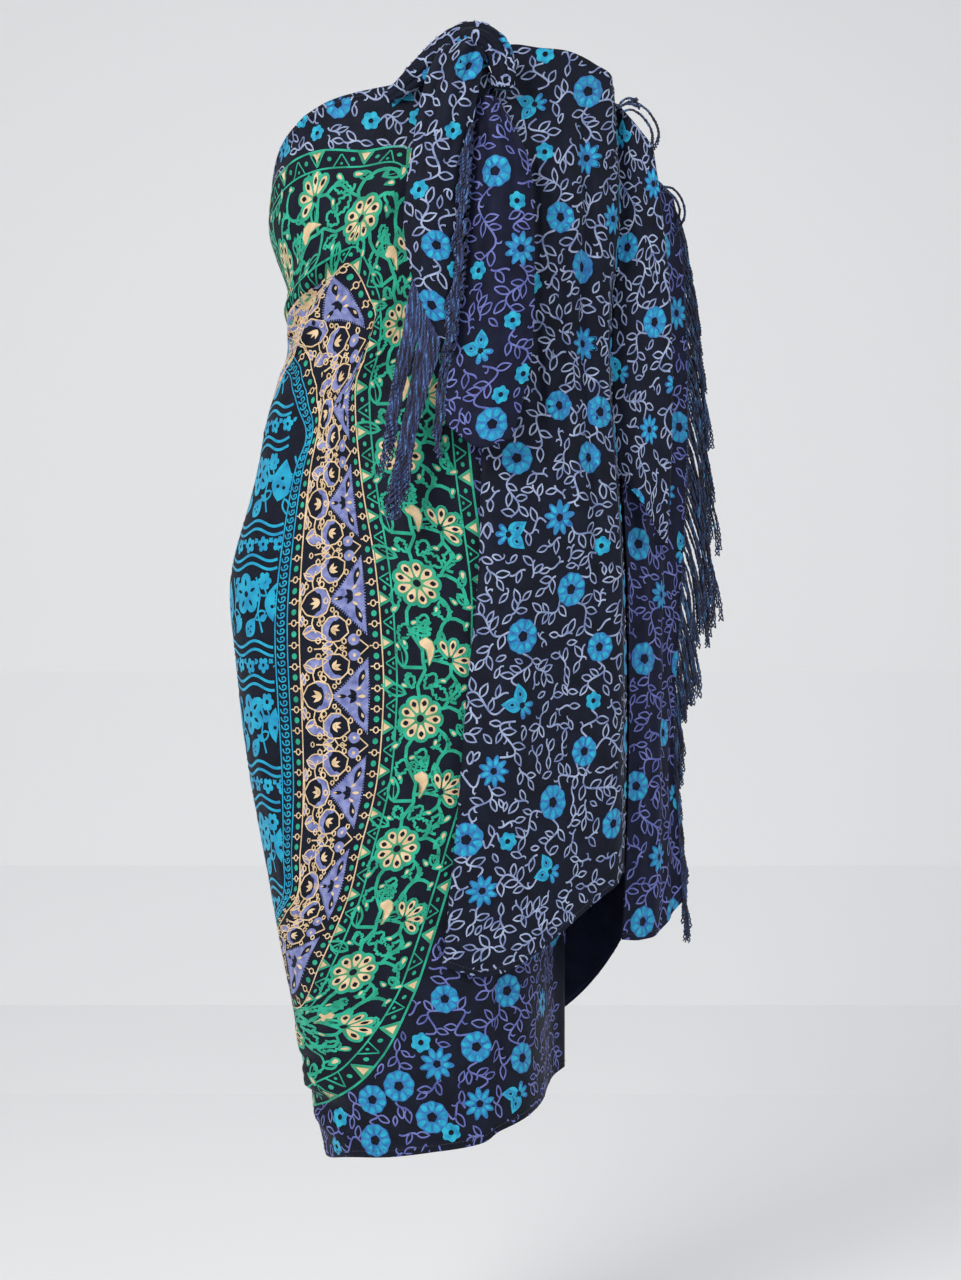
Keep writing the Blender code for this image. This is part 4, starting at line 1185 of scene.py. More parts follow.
def grow_stem(art, inked, rng, line, ink, allowed, leaf=1.0):
    """One stem with leaves on alternate sides and hooks between them."""
    line = even_points(line, step=0.0030)
    art.stroke(line, 0.0019, ink)
    inked.mark(line, 0.0010)
    gap = max(int(round(0.0082 * leaf / 0.003)), 2)
    hand = rng.choice((-1, 1))
    for k in range(2, len(line) - 1, gap):
        ahead = line[min(k + 1, len(line) - 1)] - line[k - 1]
        base = math.atan2(ahead[1], ahead[0])
        for side in (hand, -hand):
            angle = base + side * rng.uniform(0.65, 1.15)
            length = leaf * rng.uniform(0.0125, 0.0168)
            if hollow_leaf(art, inked, line[k], angle, length, length * rng.uniform(0.42, 0.52), ink,
                           allowed):
                if rng.random() < 0.62:
                    break
                continue
            hook = turned(curl(leaf * rng.uniform(0.0040, 0.0052), 0.85, side), line[k], angle)
            if inked.free(hook[3:], 0.0016) and allowed(hook).all():
                art.stroke(hook, 0.0016, ink)
                inked.mark(hook, 0.0010)
                break
        hand = -hand


SPRIG_AREA = 0.16


def vine_field(art, flowers, low, high, seed, ink="lilac", allowed=None, radius=0.0170, leaf=1.0,
               sprigs=5200):
    """A field of vine round charted flowers."""
    rng = random.Random(seed)
    allowed = allowed or (lambda points: np.ones(len(points), bool))
    inked = Inked(low, high)
    places = []
    for u, v, kind in flowers:
        size = radius * rng.uniform(0.90, 1.06) * (0.62 if kind == "small" else 1.0)
        if not allowed(turned(lobed(size, 4, 0.0, 10), (u, v))).all():
            if not allowed(np.array([[u, v]])).all():
                continue
        FLOWERS[kind](art, (u, v), size, rng.uniform(0.0, 6.28))
        inked.mark([(u, v)], size * 0.92)
        places.append((u, v, size))
    pairs = []
    for i, (u, v, size) in enumerate(places):
        near = sorted((math.hypot(u - x, v - y), j) for j, (x, y, _) in enumerate(places) if j != i)
        pairs += [(min(i, j), max(i, j)) for d, j in near[:3] if d < 0.115 * leaf + 0.02]
    for i, j in sorted(set(pairs)):
        a = np.array(places[i][:2])
        b = np.array(places[j][:2])
        reach = np.linalg.norm(b - a)
        ahead = (b - a) / reach
        side = np.array([-ahead[1], ahead[0]])
        start = a + ahead * places[i][2] * 0.95
        end = b - ahead * places[j][2] * 0.95
        bend = rng.choice((-1, 1)) * rng.uniform(0.07, 0.20) * reach
        t = np.linspace(0.0, 1.0, 14)[:, None]
        line = start + (end - start) * t + side * bend * np.sin(2 * math.pi * t)
        if inked.free(line[3:-3], 0.0015) and allowed(line).all():
            grow_stem(art, inked, rng, line, ink, allowed, leaf)
    span = np.array(high) - np.array(low)
    trials = sprigs * span[0] * span[1] / SPRIG_AREA
    for trial in range(int(trials)):
        at = np.array(low) + span * np.array([rng.random(), rng.random()])
        late = trial > 0.4 * trials
        if not (inked.free([at], (0.0030 if late else 0.0056) * leaf) and allowed(at[None, :]).all()):
            continue
        angle = rng.uniform(0.0, 6.28)
        if late:
            length = leaf * rng.uniform(0.0095, 0.0140)
            if hollow_leaf(art, inked, at, angle, length, length * 0.46, ink, allowed):
                hook = curl(leaf * 0.0042, 0.85, rng.choice((-1, 1)))
                hook = turned(hook, at, angle + rng.uniform(2.0, 4.3))
                if inked.free(hook[4:], 0.0008) and allowed(hook).all():
                    art.stroke(hook, 0.0015, ink)
            continue
        t = np.linspace(-0.5, 0.5, 8)
        line = turned(np.stack([t * 0.018 * leaf, 0.002 * np.sin(t * 5)], 1), at, angle)
        if allowed(line).all():
            grow_stem(art, inked, rng, line, ink, allowed, leaf)
            hollow_leaf(art, inked, line[-1], angle, 0.013 * leaf, 0.006 * leaf, ink, allowed)
            hollow_leaf(art, inked, line[0], angle + 3.14, 0.013 * leaf, 0.006 * leaf, ink, allowed)
    return inked


def staggered(low, high, pitch, seed, kinds=("ring", "star", "ring", "wing")):
    """Flower places in loose staggered rows."""
    rng = random.Random(seed)
    chart = []
    v = high[1] - pitch * 0.4
    row = 0
    while v > low[1]:
        u = low[0] + pitch * (0.3 + 0.5 * (row % 2))
        while u < high[0]:
            chart.append((u + rng.uniform(-0.16, 0.16) * pitch, v + rng.uniform(-0.16, 0.16) * pitch,
                          kinds[rng.randrange(len(kinds))]))
            u += pitch
        v -= pitch * 0.86
        row += 1
    return chart


# %% [markdown]
# ## The flap's print
# The flap shows the vine field at its clearest. Its flowers are charted where the camera sees them, in
# loose columns, and the vine grows between them.

# %% Chart of the flap
FLAP_CHART = (
    (534, 104, "wing"), (587, 92, "ring"), (585, 160, "star"), (628, 140, "small"), (545, 55, "small"),
    (560, 218, "ring"), (612, 220, "star"), (644, 258, "ring"), (532, 285, "small"), (580, 268, "ring"),
    (640, 195, "ring"), (582, 342, "star"), (638, 352, "ring"), (558, 405, "ring"), (600, 410, "ring"),
    (642, 437, "star"), (516, 458, "ring"), (588, 460, "ring"), (508, 536, "wing"), (560, 520, "star"),
    (636, 512, "small"), (600, 545, "small"), (570, 590, "ring"), (636, 588, "star"), (522, 634, "ring"),
    (598, 646, "ring"), (644, 660, "ring"), (522, 706, "wing"), (583, 752, "ring"), (640, 735, "ring"),
    (494, 774, "star"), (552, 802, "ring"), (612, 822, "ring"), (640, 790, "small"), (466, 840, "ring"),
    (548, 870, "wing"), (482, 890, "star"), (508, 842, "small"), (592, 700, "small"), (545, 150, "small"))
flap_art = Print()
flap_flowers = flap_cloth.flowers(FLAP_CHART)
flap_low = (flap_cloth.across.min(), flap_cloth.down.min())
flap_high = (flap_cloth.across.max(), flap_cloth.down.max())
FOLDED_ACROSS = -0.022
flap_flowers += [(FOLDED_ACROSS, -0.08 - 0.085 * k, "ring") for k in range(9)]
vine_field(flap_art, flap_flowers, flap_low, flap_high, 11)
flap_print = lay_print("flap_print", flap_cloth, flap_art)


# %% Cloth pieces
WALL = 0.0010


def cloth_piece(name, cloth, face, back, closed=False):
    """Makes the wall of a cloth grid, with its reverse in another dye."""
    rows, cols = cloth.across.shape
    a = (np.arange(rows - 1)[:, None] * cols + np.arange(cols - 1)[None, :]).ravel()
    quads = np.stack([a, a + cols, a + cols + 1, a + 1], axis=1)
    if cloth.flip:
        quads = quads[:, ::-1]
    mesh = bpy.data.meshes.new(name)
    mesh.from_pydata(cloth.points.reshape(-1, 3).tolist(), [], quads.tolist())
    flat = np.stack([cloth.across, cloth.down], axis=-1).reshape(-1, 2)
    uv = mesh.uv_layers.new(name="flat")
    uv.data.foreach_set("uv", flat[quads.ravel()].ravel())
    mesh.materials.append(DYES[face])
    mesh.materials.append(DYES[back])
    if closed:
        welded = bmesh.new()
        welded.from_mesh(mesh)
        bmesh.ops.remove_doubles(welded, verts=welded.verts, dist=1e-6)
        bmesh.ops.holes_fill(welded, edges=[e for e in welded.edges if e.is_boundary], sides=0)
        welded.to_mesh(mesh)
        welded.free()
    mesh.shade_smooth()
    made = added(name, mesh)
    if not closed:
        wall = made.modifiers.new("wall", "SOLIDIFY")
        wall.thickness = WALL
        wall.offset = 0.0
        wall.use_even_offset = True
        wall.use_quality_normals = True
        wall.material_offset = 1
    print(name, len(quads), "quads")
    return made


front = cloth_piece("wound_front", front_cloth, "ground", "back")
back = cloth_piece("wound_back", back_cloth, "ground", "back")
flap = cloth_piece("flap", flap_cloth, "ground", "back")
fold = cloth_piece("loose_fold", fold_cloth, "ground", "back")
end = cloth_piece("loose_end", end_cloth, "back", "ground")
tail_face = cloth_piece("tail_face", face_tail, "ground", "back")
tail_reverse = cloth_piece("tail_reverse", reverse_tail, "back", "ground")
strap = cloth_piece("knot_band", strap_cloth, "ground", "back", closed=True)
core = cloth_piece("knot_inner", core_cloth, "ground", "back", closed=True)

# %% [markdown]
# ## The banded medallion
# The middle of the sarong is a large rounded medallion of nested borders: triangles, a daisy band, rings
# and dots, a lavender band, a chain, and a cyan field inside. Its borders keep their order everywhere,
# so they are drawn along rails: three curves, outer, middle and inner, whose stations match. A motif is
# charted in a straight strip and bent along the rails. The half that goes round the back is the mirror
# of the half in front.

# %% Rails of the medallion
# Stations of the outer, middle and inner curves. A pair with a positive second number is read where the
# camera sees it, and one with a negative second number lies on the flat cloth, in millimetres.
RAIL_ROWS = (
    ((-400, -135), (-400, -245), (-400, -340)),
    ((-345, -122), (-350, -250), (-355, -335)),
    ((-290, -100), (-290, -250), (-310, -325)),
    ((281, 174), (290, 318), (-275, -318)),
    ((316, 153), (320, 291), (-245, -312)),
    ((363, 150), (343, 267), (287, 345)),
    ((411, 151), (351, 263), (289, 352)),
    ((430, 215), (364, 285), (293, 368)),
    ((446, 290), (377, 318), (299, 388)),
    ((455, 340), (366, 354), (305, 410)),
    ((464, 395), (354, 396), (309, 438)),
    ((475, 480), (361, 480), (297, 482)),
    ((483, 580), (374, 570), (281, 590)),
    ((487, 640), (381, 640), (281, 645)),
    ((484, 700), (383, 695), (284, 700)),
    ((477, 780), (377, 780), (287, 780)),
    ((462, 850), (361, 850), (287, 850)),
    ((447, 900), (347, 900), (286, 900)),
    ((425, 967), (322, 960), (-238, -825)),
    ((408, 1000), (302, 1004), (-262, -815)),
    ((381, 1056), (-228, -905), (-290, -800)),
    ((340, 1095), (-262, -895), (-315, -790)),
    ((316, 1102), (-300, -885), (-340, -782)),
    ((-300, -978), (-350, -875), (-370, -775)),
    ((-400, -970), (-400, -868), (-400, -768)))
MIDDLE_AT = 0.105
INNER_AT = 0.204
MIRROR = -0.400


def rail_points(column):
    """Flat places of one rail's stations."""
    places = []
    for row in RAIL_ROWS:
        x, y = row[column]
        places.append(front_cloth.seen([(x, y)])[0] if y > 0 else np.array([x, y]) / 1000.0)
    return np.array(places)


class Rails:
    """Three matched closed curves between which the borders lie."""

    def __init__(self, rails):
        count = rails.shape[1]
        self.keys = np.linspace(0.0, count - 1.0, 1800)
        at = np.arange(count, dtype=float)
        self.rails = [np.stack([smooth(at, rail[:, k], self.keys) for k in range(2)], axis=1)
                      for rail in rails]

    def curve(self, depth):
        """The curve at one depth inwards from the outer rail."""
        outer, middle, inner = self.rails
        if depth <= MIDDLE_AT:
            return outer + (middle - outer) * depth / MIDDLE_AT
        return middle + (inner - middle) * (depth - MIDDLE_AT) / (INNER_AT - MIDDLE_AT)

    def band(self, depth):
        """Length along a depth, and a function that bends a straight strip along the rails there."""
        line = self.curve(depth)
        run = lengths_along(line)

        def bend(points, start=0.0):
            points = np.asarray(points, float)
            at = np.interp((points[:, 0] + start) % run[-1], run, self.keys)
            deep = points[:, 1][:, None]
            rails = [np.stack([np.interp(at, self.keys, rail[:, k]) for k in range(2)], axis=1)
                     for rail in self.rails]
            near = rails[0] + (rails[1] - rails[0]) * deep / MIDDLE_AT
            far = rails[1] + (rails[2] - rails[1]) * (deep - MIDDLE_AT) / (INNER_AT - MIDDLE_AT)
            return np.where(deep <= MIDDLE_AT, near, far)

        return run[-1], bend


def mirrored(rails):
    """The half of the medallion that goes round the back, whose foot follows the rising hem."""
    made = rails[:, ::-1].copy()
    made[..., 0] = 2 * MIRROR - made[..., 0]
    far = np.clip((MIRROR - made[..., 0]) / 0.42, 0.0, 1.0)
    made[..., 1] = -0.135 + (made[..., 1] + 0.135) * (1.0 - 0.17 * far)
    return made


front_rails = np.stack([rail_points(k) for k in range(3)])
round_rails = Rails(np.concatenate([front_rails, mirrored(front_rails)[:, 1:]], axis=1))
OUTLINE = round_rails.curve(0.0)[::12]
FIELD = round_rails.curve(INNER_AT + 0.0065)[::12]


def within(loop, points):
    """True for the points inside a closed loop."""
    points = np.asarray(points, float)
    ax, ay = loop[:, 0], loop[:, 1]
    bx, by = np.roll(loop, -1, axis=0).T
    rise = np.where(np.abs(by - ay) < 1e-12, 1e-12, by - ay)
    inside = np.zeros(len(points), bool)
    for start in range(0, len(points), 4000):
        x, y = points[start:start + 4000, :1], points[start:start + 4000, 1:]
        crosses = ((ay > y) != (by > y)) & (x < ax + (y - ay) / rise * (bx - ax))
        inside[start:start + 4000] = crosses.sum(axis=1) % 2 == 1
    return inside


print("medallion is", (OUTLINE[:, 0].max() - OUTLINE[:, 0].min()).round(3), "m across")

# %% [markdown]
# ## Motifs of the daisy band
# Daisies of nine cream petals, each petal with a dark seed and a green halo, alternate with half flowers
# that open towards the outer border. Green stems, outlined leaves, toothed leaves and cream buds fill the
# space between. Everything is charted in a strip 132 mm long, which then repeats.

# %% Borders and daisies
class Strip:
    """A print whose shapes are charted in a straight strip and bent along the rails from one start."""

    def __init__(self, art, bend, start=0.0):
        self.art = art
        self.bend = bend
        self.start = start

    def fill(self, shape, ink, layer=1):
        """Fills a shape of the strip."""
        self.art.fill(self.bend(shape, self.start), ink, layer)

    def stroke(self, shape, width, ink, closed=False, layer=1, taper=False):
        """Draws a line of the strip."""
        self.art.stroke(self.bend(shape, self.start), width, ink, closed, layer, taper)

    def line(self, length, depth, width, ink):
        """Draws a line along the rails at one depth."""
        x = np.arange(0.0, length, 0.004)
        self.stroke(np.stack([x, np.full(len(x), depth)], 1), width, ink)


def oval(place, long, wide, count=10):
    """Small ellipse."""
    a = np.linspace(0.0, 2 * math.pi, count, endpoint=False)
    return np.stack([place[0] + long / 2 * np.cos(a), place[1] + wide / 2 * np.sin(a)], 1)


def triangle_border(art, rails, outer, inner, pitch, rng):
    """Border of filled and open triangles with ovals between, its filled triangles on the inner line."""
    length, bend = rails.band((outer + inner) / 2)
    strip = Strip(art, bend)
    base, tip = (inner, outer) if outer > 0.05 else (outer, inner)
    reach = tip - base
    x = 0.006
    while x < length - pitch:
        p = pitch * rng.uniform(0.92, 1.08)
        corners = [(x, base), (x + p * 0.19, base), (x + p * 0.38, base), (x + p * 0.19, base + reach * 0.86)]
        strip.fill(corners, "leaf")
        core = [(x + p * 0.10, base + reach * 0.10), (x + p * 0.28, base + reach * 0.10),
                (x + p * 0.19, base + reach * 0.62)]
        strip.fill(core, "cream", 2)
        strip.stroke([(x + p * 0.36, base), (x + p * 0.19, base + reach * 0.92), (x + p * 0.02, base)],
                     0.0014, "green", layer=3)
        strip.fill(oval((x + p * 0.46, base + reach * 0.5), 0.0050, 0.0036), "green")
        strip.stroke([(x + p * 0.54, tip), (x + p * 0.71, base + reach * 0.16), (x + p * 0.88, tip)],
                     0.0014, "green")
        strip.fill(oval((x + p * 0.71, tip - reach * 0.22), 0.0034, 0.0024), "green")
        strip.fill(oval((x + p * 0.93, base + reach * 0.5), 0.0050, 0.0036), "green")
        x += p


def eyed_petal(strip, root, angle, length, width):
    """One cream petal with a dark seed."""
    strip.fill(turned(teardrop(length, width, 12), root, angle), "cream", 2)
    seed = toward(root, 0.42 * length, angle)
    strip.fill(turned(almond(length * 0.44, width * 0.46, 8, 1.0), seed, angle), "ground", 3)


def daisy(strip, place, radius, turn):
    """Full daisy."""
    strip.fill(turned(lobed(radius, 9, 0.13, 45, 0.6), place, turn), "leaf")
    strip.stroke(turned(lobed(radius, 9, 0.13, 54, 0.6), place, turn), 0.0030, "green", True, 2)
    for k in range(9):
        a = turn + 2 * math.pi * k / 9
        root = toward(place, 0.26 * radius, a)
        eyed_petal(strip, root, a, radius * 0.66, radius * 0.50)
    strip.fill(turned(lobed(radius * 0.17, 6, 0.05, 10), place), "ground", 4)


def half_daisy(strip, place, radius, turn):
    """Five petals that open to one side."""
    for k in range(5):
        a = turn + (k - 2) * 0.66
        petal = turned(teardrop(radius * 1.08, radius * 0.66, 14), place, a)
        strip.fill(petal, "leaf")
        strip.stroke(petal, 0.0030, "green", True)
    for k in range(5):
        a = turn + (k - 2) * 0.66
        root = toward(place, 0.20 * radius, a)
        eyed_petal(strip, root, a, radius * 0.80, radius * 0.42)
    strip.fill(oval(place, radius * 0.30, radius * 0.26), "ground", 4)


def bud(strip, place, angle, size):
    """Cream bud with a green halo."""
    strip.fill(turned(teardrop(size, size * 0.72, 12), place, angle), "green")
    root = toward(place, 0.34 * size, angle)
    strip.fill(turned(teardrop(size * 0.52, size * 0.36, 10), root, angle), "cream", 2)


def toothed_leaf(strip, place, angle, length, width):
    """Outlined leaf with a toothed edge."""
    t = np.linspace(0.0, 1.0, 9)
    half = width / 2 * np.sin(math.pi * t ** 0.8) * np.where(np.arange(9) % 2, 1.25, 0.62)
    shape = np.vstack([np.stack([t * length, half], 1), np.stack([t * length, -half], 1)[-2:0:-1]])
    strip.stroke(turned(shape, place, angle), 0.0028, "green", True)


def veined_leaf(strip, place, angle, length, width):
    """Outlined leaf with a short vein."""
    strip.stroke(turned(almond(length, width, 18, 0.85), place, angle), 0.0026, "green", True)
    strip.stroke(turned([(0.0, 0.0), (length * 0.6, width * 0.06)], place, angle), 0.0016, "green",
                 taper=True)


DAISY_PITCH = 0.132
DAISY_START = 0.047
LEAVES = (
    ("vein", 0.006, 0.082, 1.90, 0.026, 0.011), ("vein", 0.088, 0.066, 3.50, 0.025, 0.010),
    ("vein", 0.112, 0.084, 2.90, 0.026, 0.011), ("vein", 0.102, 0.058, 4.60, 0.021, 0.009),
    ("tooth", 0.070, 0.078, 0.50, 0.018, 0.013), ("tooth", 0.064, 0.038, 2.80, 0.020, 0.013),
    ("tooth", 0.010, 0.040, 2.20, 0.022, 0.012), ("tooth", 0.126, 0.030, 0.30, 0.018, 0.011),
    ("tooth", 0.060, 0.060, 0.20, 0.017, 0.012), ("vein", 0.036, 0.028, 5.60, 0.016, 0.008),
    ("vein", 0.074, 0.074, 5.10, 0.020, 0.008), ("tooth", 0.118, 0.052, 0.60, 0.018, 0.012),
    ("tooth", 0.054, 0.088, 3.20, 0.016, 0.010), ("vein", 0.090, 0.044, 3.00, 0.016, 0.007),
    ("tooth", 0.088, 0.020, 0.10, 0.017, 0.009), ("vein", 0.016, 0.020, 0.40, 0.015, 0.007),
    ("tooth", 0.118, 0.080, 5.80, 0.016, 0.010))
BUDS = (
    (0.052, 0.084, 0.90, 0.0120), (0.060, 0.050, 3.30, 0.0100), (0.040, 0.036, 5.50, 0.0105),
    (0.004, 0.028, 3.90, 0.0115), (0.050, 0.024, 4.50, 0.0120), (0.074, 0.022, 3.50, 0.0105),
    (0.024, 0.022, 3.20, 0.0130), (0.082, 0.084, 5.90, 0.0095), (0.124, 0.050, 4.80, 0.0100),
    (0.096, 0.086, 2.60, 0.0095), (0.112, 0.020, 3.60, 0.0100), (0.066, 0.066, 1.20, 0.0095),
    (0.132, 0.078, 1.90, 0.0095))
STEMS = (
    ((0.048, 0.072), (0.058, 0.078), (0.070, 0.078), (0.082, 0.072), (0.094, 0.064), (0.106, 0.064)),
    ((0.106, 0.064), (0.114, 0.062), (0.122, 0.066), (0.130, 0.070), (0.142, 0.068)),
    ((0.106, 0.064), (0.104, 0.052), (0.106, 0.044), (0.108, 0.036)),
    ((0.040, 0.048), (0.046, 0.040), (0.054, 0.036), (0.062, 0.038), (0.070, 0.044), (0.080, 0.046)),
    ((0.080, 0.046), (0.088, 0.052), (0.094, 0.060)),
    ((0.062, 0.038), (0.062, 0.030), (0.066, 0.022), (0.074, 0.020)),
    ((0.108, 0.036), (0.118, 0.036), (0.124, 0.042), (0.126, 0.050)),
    ((0.118, 0.036), (0.126, 0.030), (0.134, 0.030), (0.140, 0.036), (0.150, 0.042)),
    ((0.112, 0.064), (0.112, 0.074), (0.112, 0.084)),
    ((0.020, 0.046), (0.018, 0.038), (0.022, 0.028), (0.030, 0.022), (0.040, 0.020), (0.050, 0.022)))
HOOKS = ((0.054, 0.046, 0.2, 1), (0.074, 0.054, 1.9, -1), (0.014, 0.030, 1.4, 1), (0.084, 0.036, 5.2, 1),
         (0.120, 0.078, 0.9, -1), (0.068, 0.066, 4.5, 1), (0.094, 0.080, 3.5, -1), (0.034, 0.020, 0.3, 1))


def daisy_unit(strip, rng):
    """One repeat of the daisy band."""
    daisy(strip, (0.030, 0.066), 0.0225, rng.uniform(0.0, 0.7))
    half_daisy(strip, (0.104, 0.037), 0.0205, 4.05)
    horn = np.array([(0.082, 0.060), (0.086, 0.054), (0.093, 0.052), (0.101, 0.054), (0.110, 0.058),
                     (0.101, 0.0585), (0.094, 0.060), (0.090, 0.066), (0.086, 0.067)])
    strip.fill(horn, "cream", 2)
    strip.stroke(horn, 0.0024, "leaf", True)
    for kind, x, y, angle, length, width in LEAVES:
        shape = veined_leaf if kind == "vein" else toothed_leaf
        shape(strip, (x, y), angle + rng.uniform(-0.15, 0.15), length, width)
    for x, y, angle, size in BUDS:
        bud(strip, (x, y), angle, size)
    for stem in STEMS:
        strip.stroke(even_points(stem), 0.0034, "green")
    for x, y, angle, hand in HOOKS:
        strip.stroke(turned(curl(0.0062, 0.95, hand), (x, y), angle), 0.0028, "green")


# %% [markdown]
# ## The lavender band
# The second wide band is cream and lavender: toothed triangles with almond cut-outs along its outer
# side, cups along its inner side, and small five-sided flowers between, all tied by thin cream lines. A
# border of rings and green dots edges it on both sides.

# %% Lavender motifs
LAVENDER_PITCH = 0.097


def ring_border(art, rails, outer, inner, rng):
    """Green dots and cream rings in turn."""
    middle = (outer + inner) / 2
    length, bend = rails.band(middle)
    strip = Strip(art, bend)
    x, k = 0.004, 0
    while x < length - 0.008:
        if k % 2:
            strip.fill(oval((x, middle), 0.0064, 0.0056, 8), "green")
        else:
            strip.stroke(oval((x, middle), 0.0064, 0.0054, 9), 0.0013, "cream", True)
            strip.stroke([(x, middle + 0.0026), (x, inner)], 0.0012, "cream")
            strip.stroke([(x, middle - 0.0026), (x, outer)], 0.0012, "cream")
        x += 0.0108 * rng.uniform(0.94, 1.06)
        k += 1


CUTS = (
    (0.0, 0.1385, 1.57, 0.0100, 0.0042), (-0.0265, 0.1226, 0.30, 0.0185, 0.0058),
    (0.0265, 0.1226, 2.84, 0.0185, 0.0058), (0.0, 0.1300, 0.70, 0.0095, 0.0050),
    (0.0, 0.1300, 2.44, 0.0095, 0.0050), (0.0, 0.1310, 1.57, 0.0075, 0.0050))
SEEDS = (
    (0.0, 0.1210, 1.57, 0.0080), (-0.0095, 0.1255, 0.95, 0.0065), (0.0095, 0.1255, 2.19, 0.0065),
    (-0.0215, 0.1230, 0.35, 0.0055), (0.0215, 0.1230, 2.79, 0.0055), (0.0, 0.1440, 1.57, 0.0045))


def toothed_triangle(strip):
    """Lavender triangle with almond cut-outs and a toothed edge."""
    outer = np.array([(-0.036, 0.1190), (-0.018, 0.1192), (0.0, 0.1190), (0.018, 0.1192), (0.036, 0.1190),
                      (0.024, 0.1300), (0.012, 0.1400), (0.0, 0.1520), (-0.012, 0.1400), (-0.024, 0.1300)])
    strip.fill(even_points(outer, True, 0.0044), "lavender")
    edge = even_points(outer, True, 0.0026)
    for place in edge:
        out = place - outer.mean(axis=0)
        out = out / np.linalg.norm(out) * 0.0017
        strip.stroke([place - out * 0.2, place + out], 0.0009, "lavender")
    for x, y, angle, length, width in CUTS:
        strip.fill(turned(almond(length, width, 10), (x, y), angle), "ground", 2)
    for x, y, angle, length in SEEDS:
        strip.fill(turned(almond(length, length * 0.42, 8), (x, y), angle), "cream", 3)


def cup(strip, place, angle, size):
    """Cream outlined cup with a lavender crescent and a cream crown."""
    body = np.array([(-0.50, 0.0), (-0.30, 0.36), (0.05, 0.52), (0.36, 0.40), (0.50, 0.0), (0.36, -0.40),
                     (0.05, -0.52), (-0.30, -0.36)]) * size
    strip.stroke(turned(body, place, angle), 0.0014, "cream", True, 2)
    a = np.linspace(-1.75, 1.75, 12)
    outer = np.stack([0.46 * np.cos(a), 0.50 * np.sin(a)], 1) * size
    inner = np.stack([0.10 + 0.12 * np.cos(a), 0.32 * np.sin(a)], 1)[::-1] * size
    n = len(outer)
    placed = strip.bend(turned(np.vstack([outer, inner[::-1]]), place, angle), strip.start)
    k = np.arange(n - 1)
    faces = np.concatenate([np.stack([k, k + n + 1, k + 1], 1), np.stack([k, k + n, k + n + 1], 1)])
    strip.art.add(placed, faces, "lavender", 1)
    crown = turned([(0.16 * size, 0.0)], place, angle)[0]
    for turn in (2.5, 3.14, 3.78):
        strip.fill(turned(almond(size * 0.34, size * 0.13, 8), crown, angle + turn), "cream", 3)


LINKS = (
    (0.0, 0.1560, 0.0060), (0.0150, 0.1465, 0.0058), (0.0240, 0.1350, 0.0056), (0.0350, 0.1260, 0.0056),
    (0.0175, 0.1600, 0.0066), (0.0420, 0.1400, 0.0056), (0.0190, 0.1760, 0.0060), (0.0400, 0.1640, 0.0064),
    (0.0100, 0.1500, 0.0050))
BLADES = ((0.0110, 0.1795, 0.10, 0.0130), (0.0235, 0.1690, 0.85, 0.0140), (0.0420, 0.1500, 1.10, 0.0120))
BETWEEN = LAVENDER_PITCH / 2
SIDE_TIES = (((0.012, 0.157), (0.018, 0.164), (0.026, 0.160)),
             ((0.013, 0.168), (0.022, 0.170), (0.032, 0.166)),
             ((0.0, 0.181), (0.014, 0.182), (0.024, 0.176)))
MIDDLE_TIES = (((0.042, 0.150), (BETWEEN, 0.146), (0.055, 0.150)), ((BETWEEN, 0.146), (BETWEEN, 0.138)),
               ((BETWEEN, 0.152), (BETWEEN, 0.168)), ((0.042, 0.160), (BETWEEN, 0.154), (0.055, 0.160)))
TIE_RINGS = ((0.0225, 0.163), (-0.0225, 0.163), (BETWEEN, 0.172), (0.0, 0.156), (BETWEEN, 0.142))


def lavender_unit(strip, rng):
    """One repeat of the lavender band."""
    toothed_triangle(strip)
    cup(strip, (0.0, 0.1665), -1.57, 0.0300)
    cup(strip, (-0.0300, 0.1480), 1.2, 0.0260)
    cup(strip, (0.0300, 0.1480), 1.9, 0.0260)
    for x, y, size in LINKS:
        for hand in ((1, -1) if x > 0 else (1,)):
            strip.stroke(oval((x * hand, y), size, size * 0.78, 8), 0.0014, "cream", True, 2)
    for x, y, angle, length in BLADES:
        for hand in (1, -1):
            a = angle if hand > 0 else math.pi - angle
            shape = turned(almond(length, length * 0.42, 12), (x * hand, y), a)
            strip.fill(shape, "lavender")
            strip.stroke(shape, 0.0013, "cream", True, 2)
    for hand in (1, -1):
        x = BETWEEN - 0.017 * hand
        lean = -1.3 if hand > 0 else -1.8
        strip.fill(turned(almond(0.022, 0.0085, 12), (x, 0.178), lean), "lavender")
        strip.stroke(turned(almond(0.024, 0.0105, 14), (x, 0.1785), lean), 0.0012, "cream", True, 2)
    for hand in (1, -1):
        x, y = BETWEEN - 0.0075 * hand, 0.131
        strip.fill(turned(lobed(0.0058, 5, 0.10, 15), (x, y), rng.uniform(0, 1)), "lavender")
        strip.fill(oval((x, y), 0.0038, 0.0032, 7), "cream", 2)
        strip.stroke([(x, y - 0.005), (BETWEEN, 0.1175)], 0.0012, "cream")
    for line in SIDE_TIES:
        for hand in (1, -1):
            strip.stroke(even_points([(x * hand, y) for x, y in line]), 0.0014, "cream", layer=2)
    for line in MIDDLE_TIES:
        strip.stroke(even_points(line), 0.0014, "cream", layer=2)
    for x, y in TIE_RINGS:
        strip.stroke(oval((x, y), 0.0054, 0.0042, 8), 0.0012, "cream", True, 2)


CHAIN_HOOP = np.array([(0.0, 0.0046), (0.0038, 0.0036), (0.0048, 0.0), (0.0030, -0.0040),
                       (-0.0006, -0.0034), (0.0, 0.0010), (0.0024, 0.0004)])


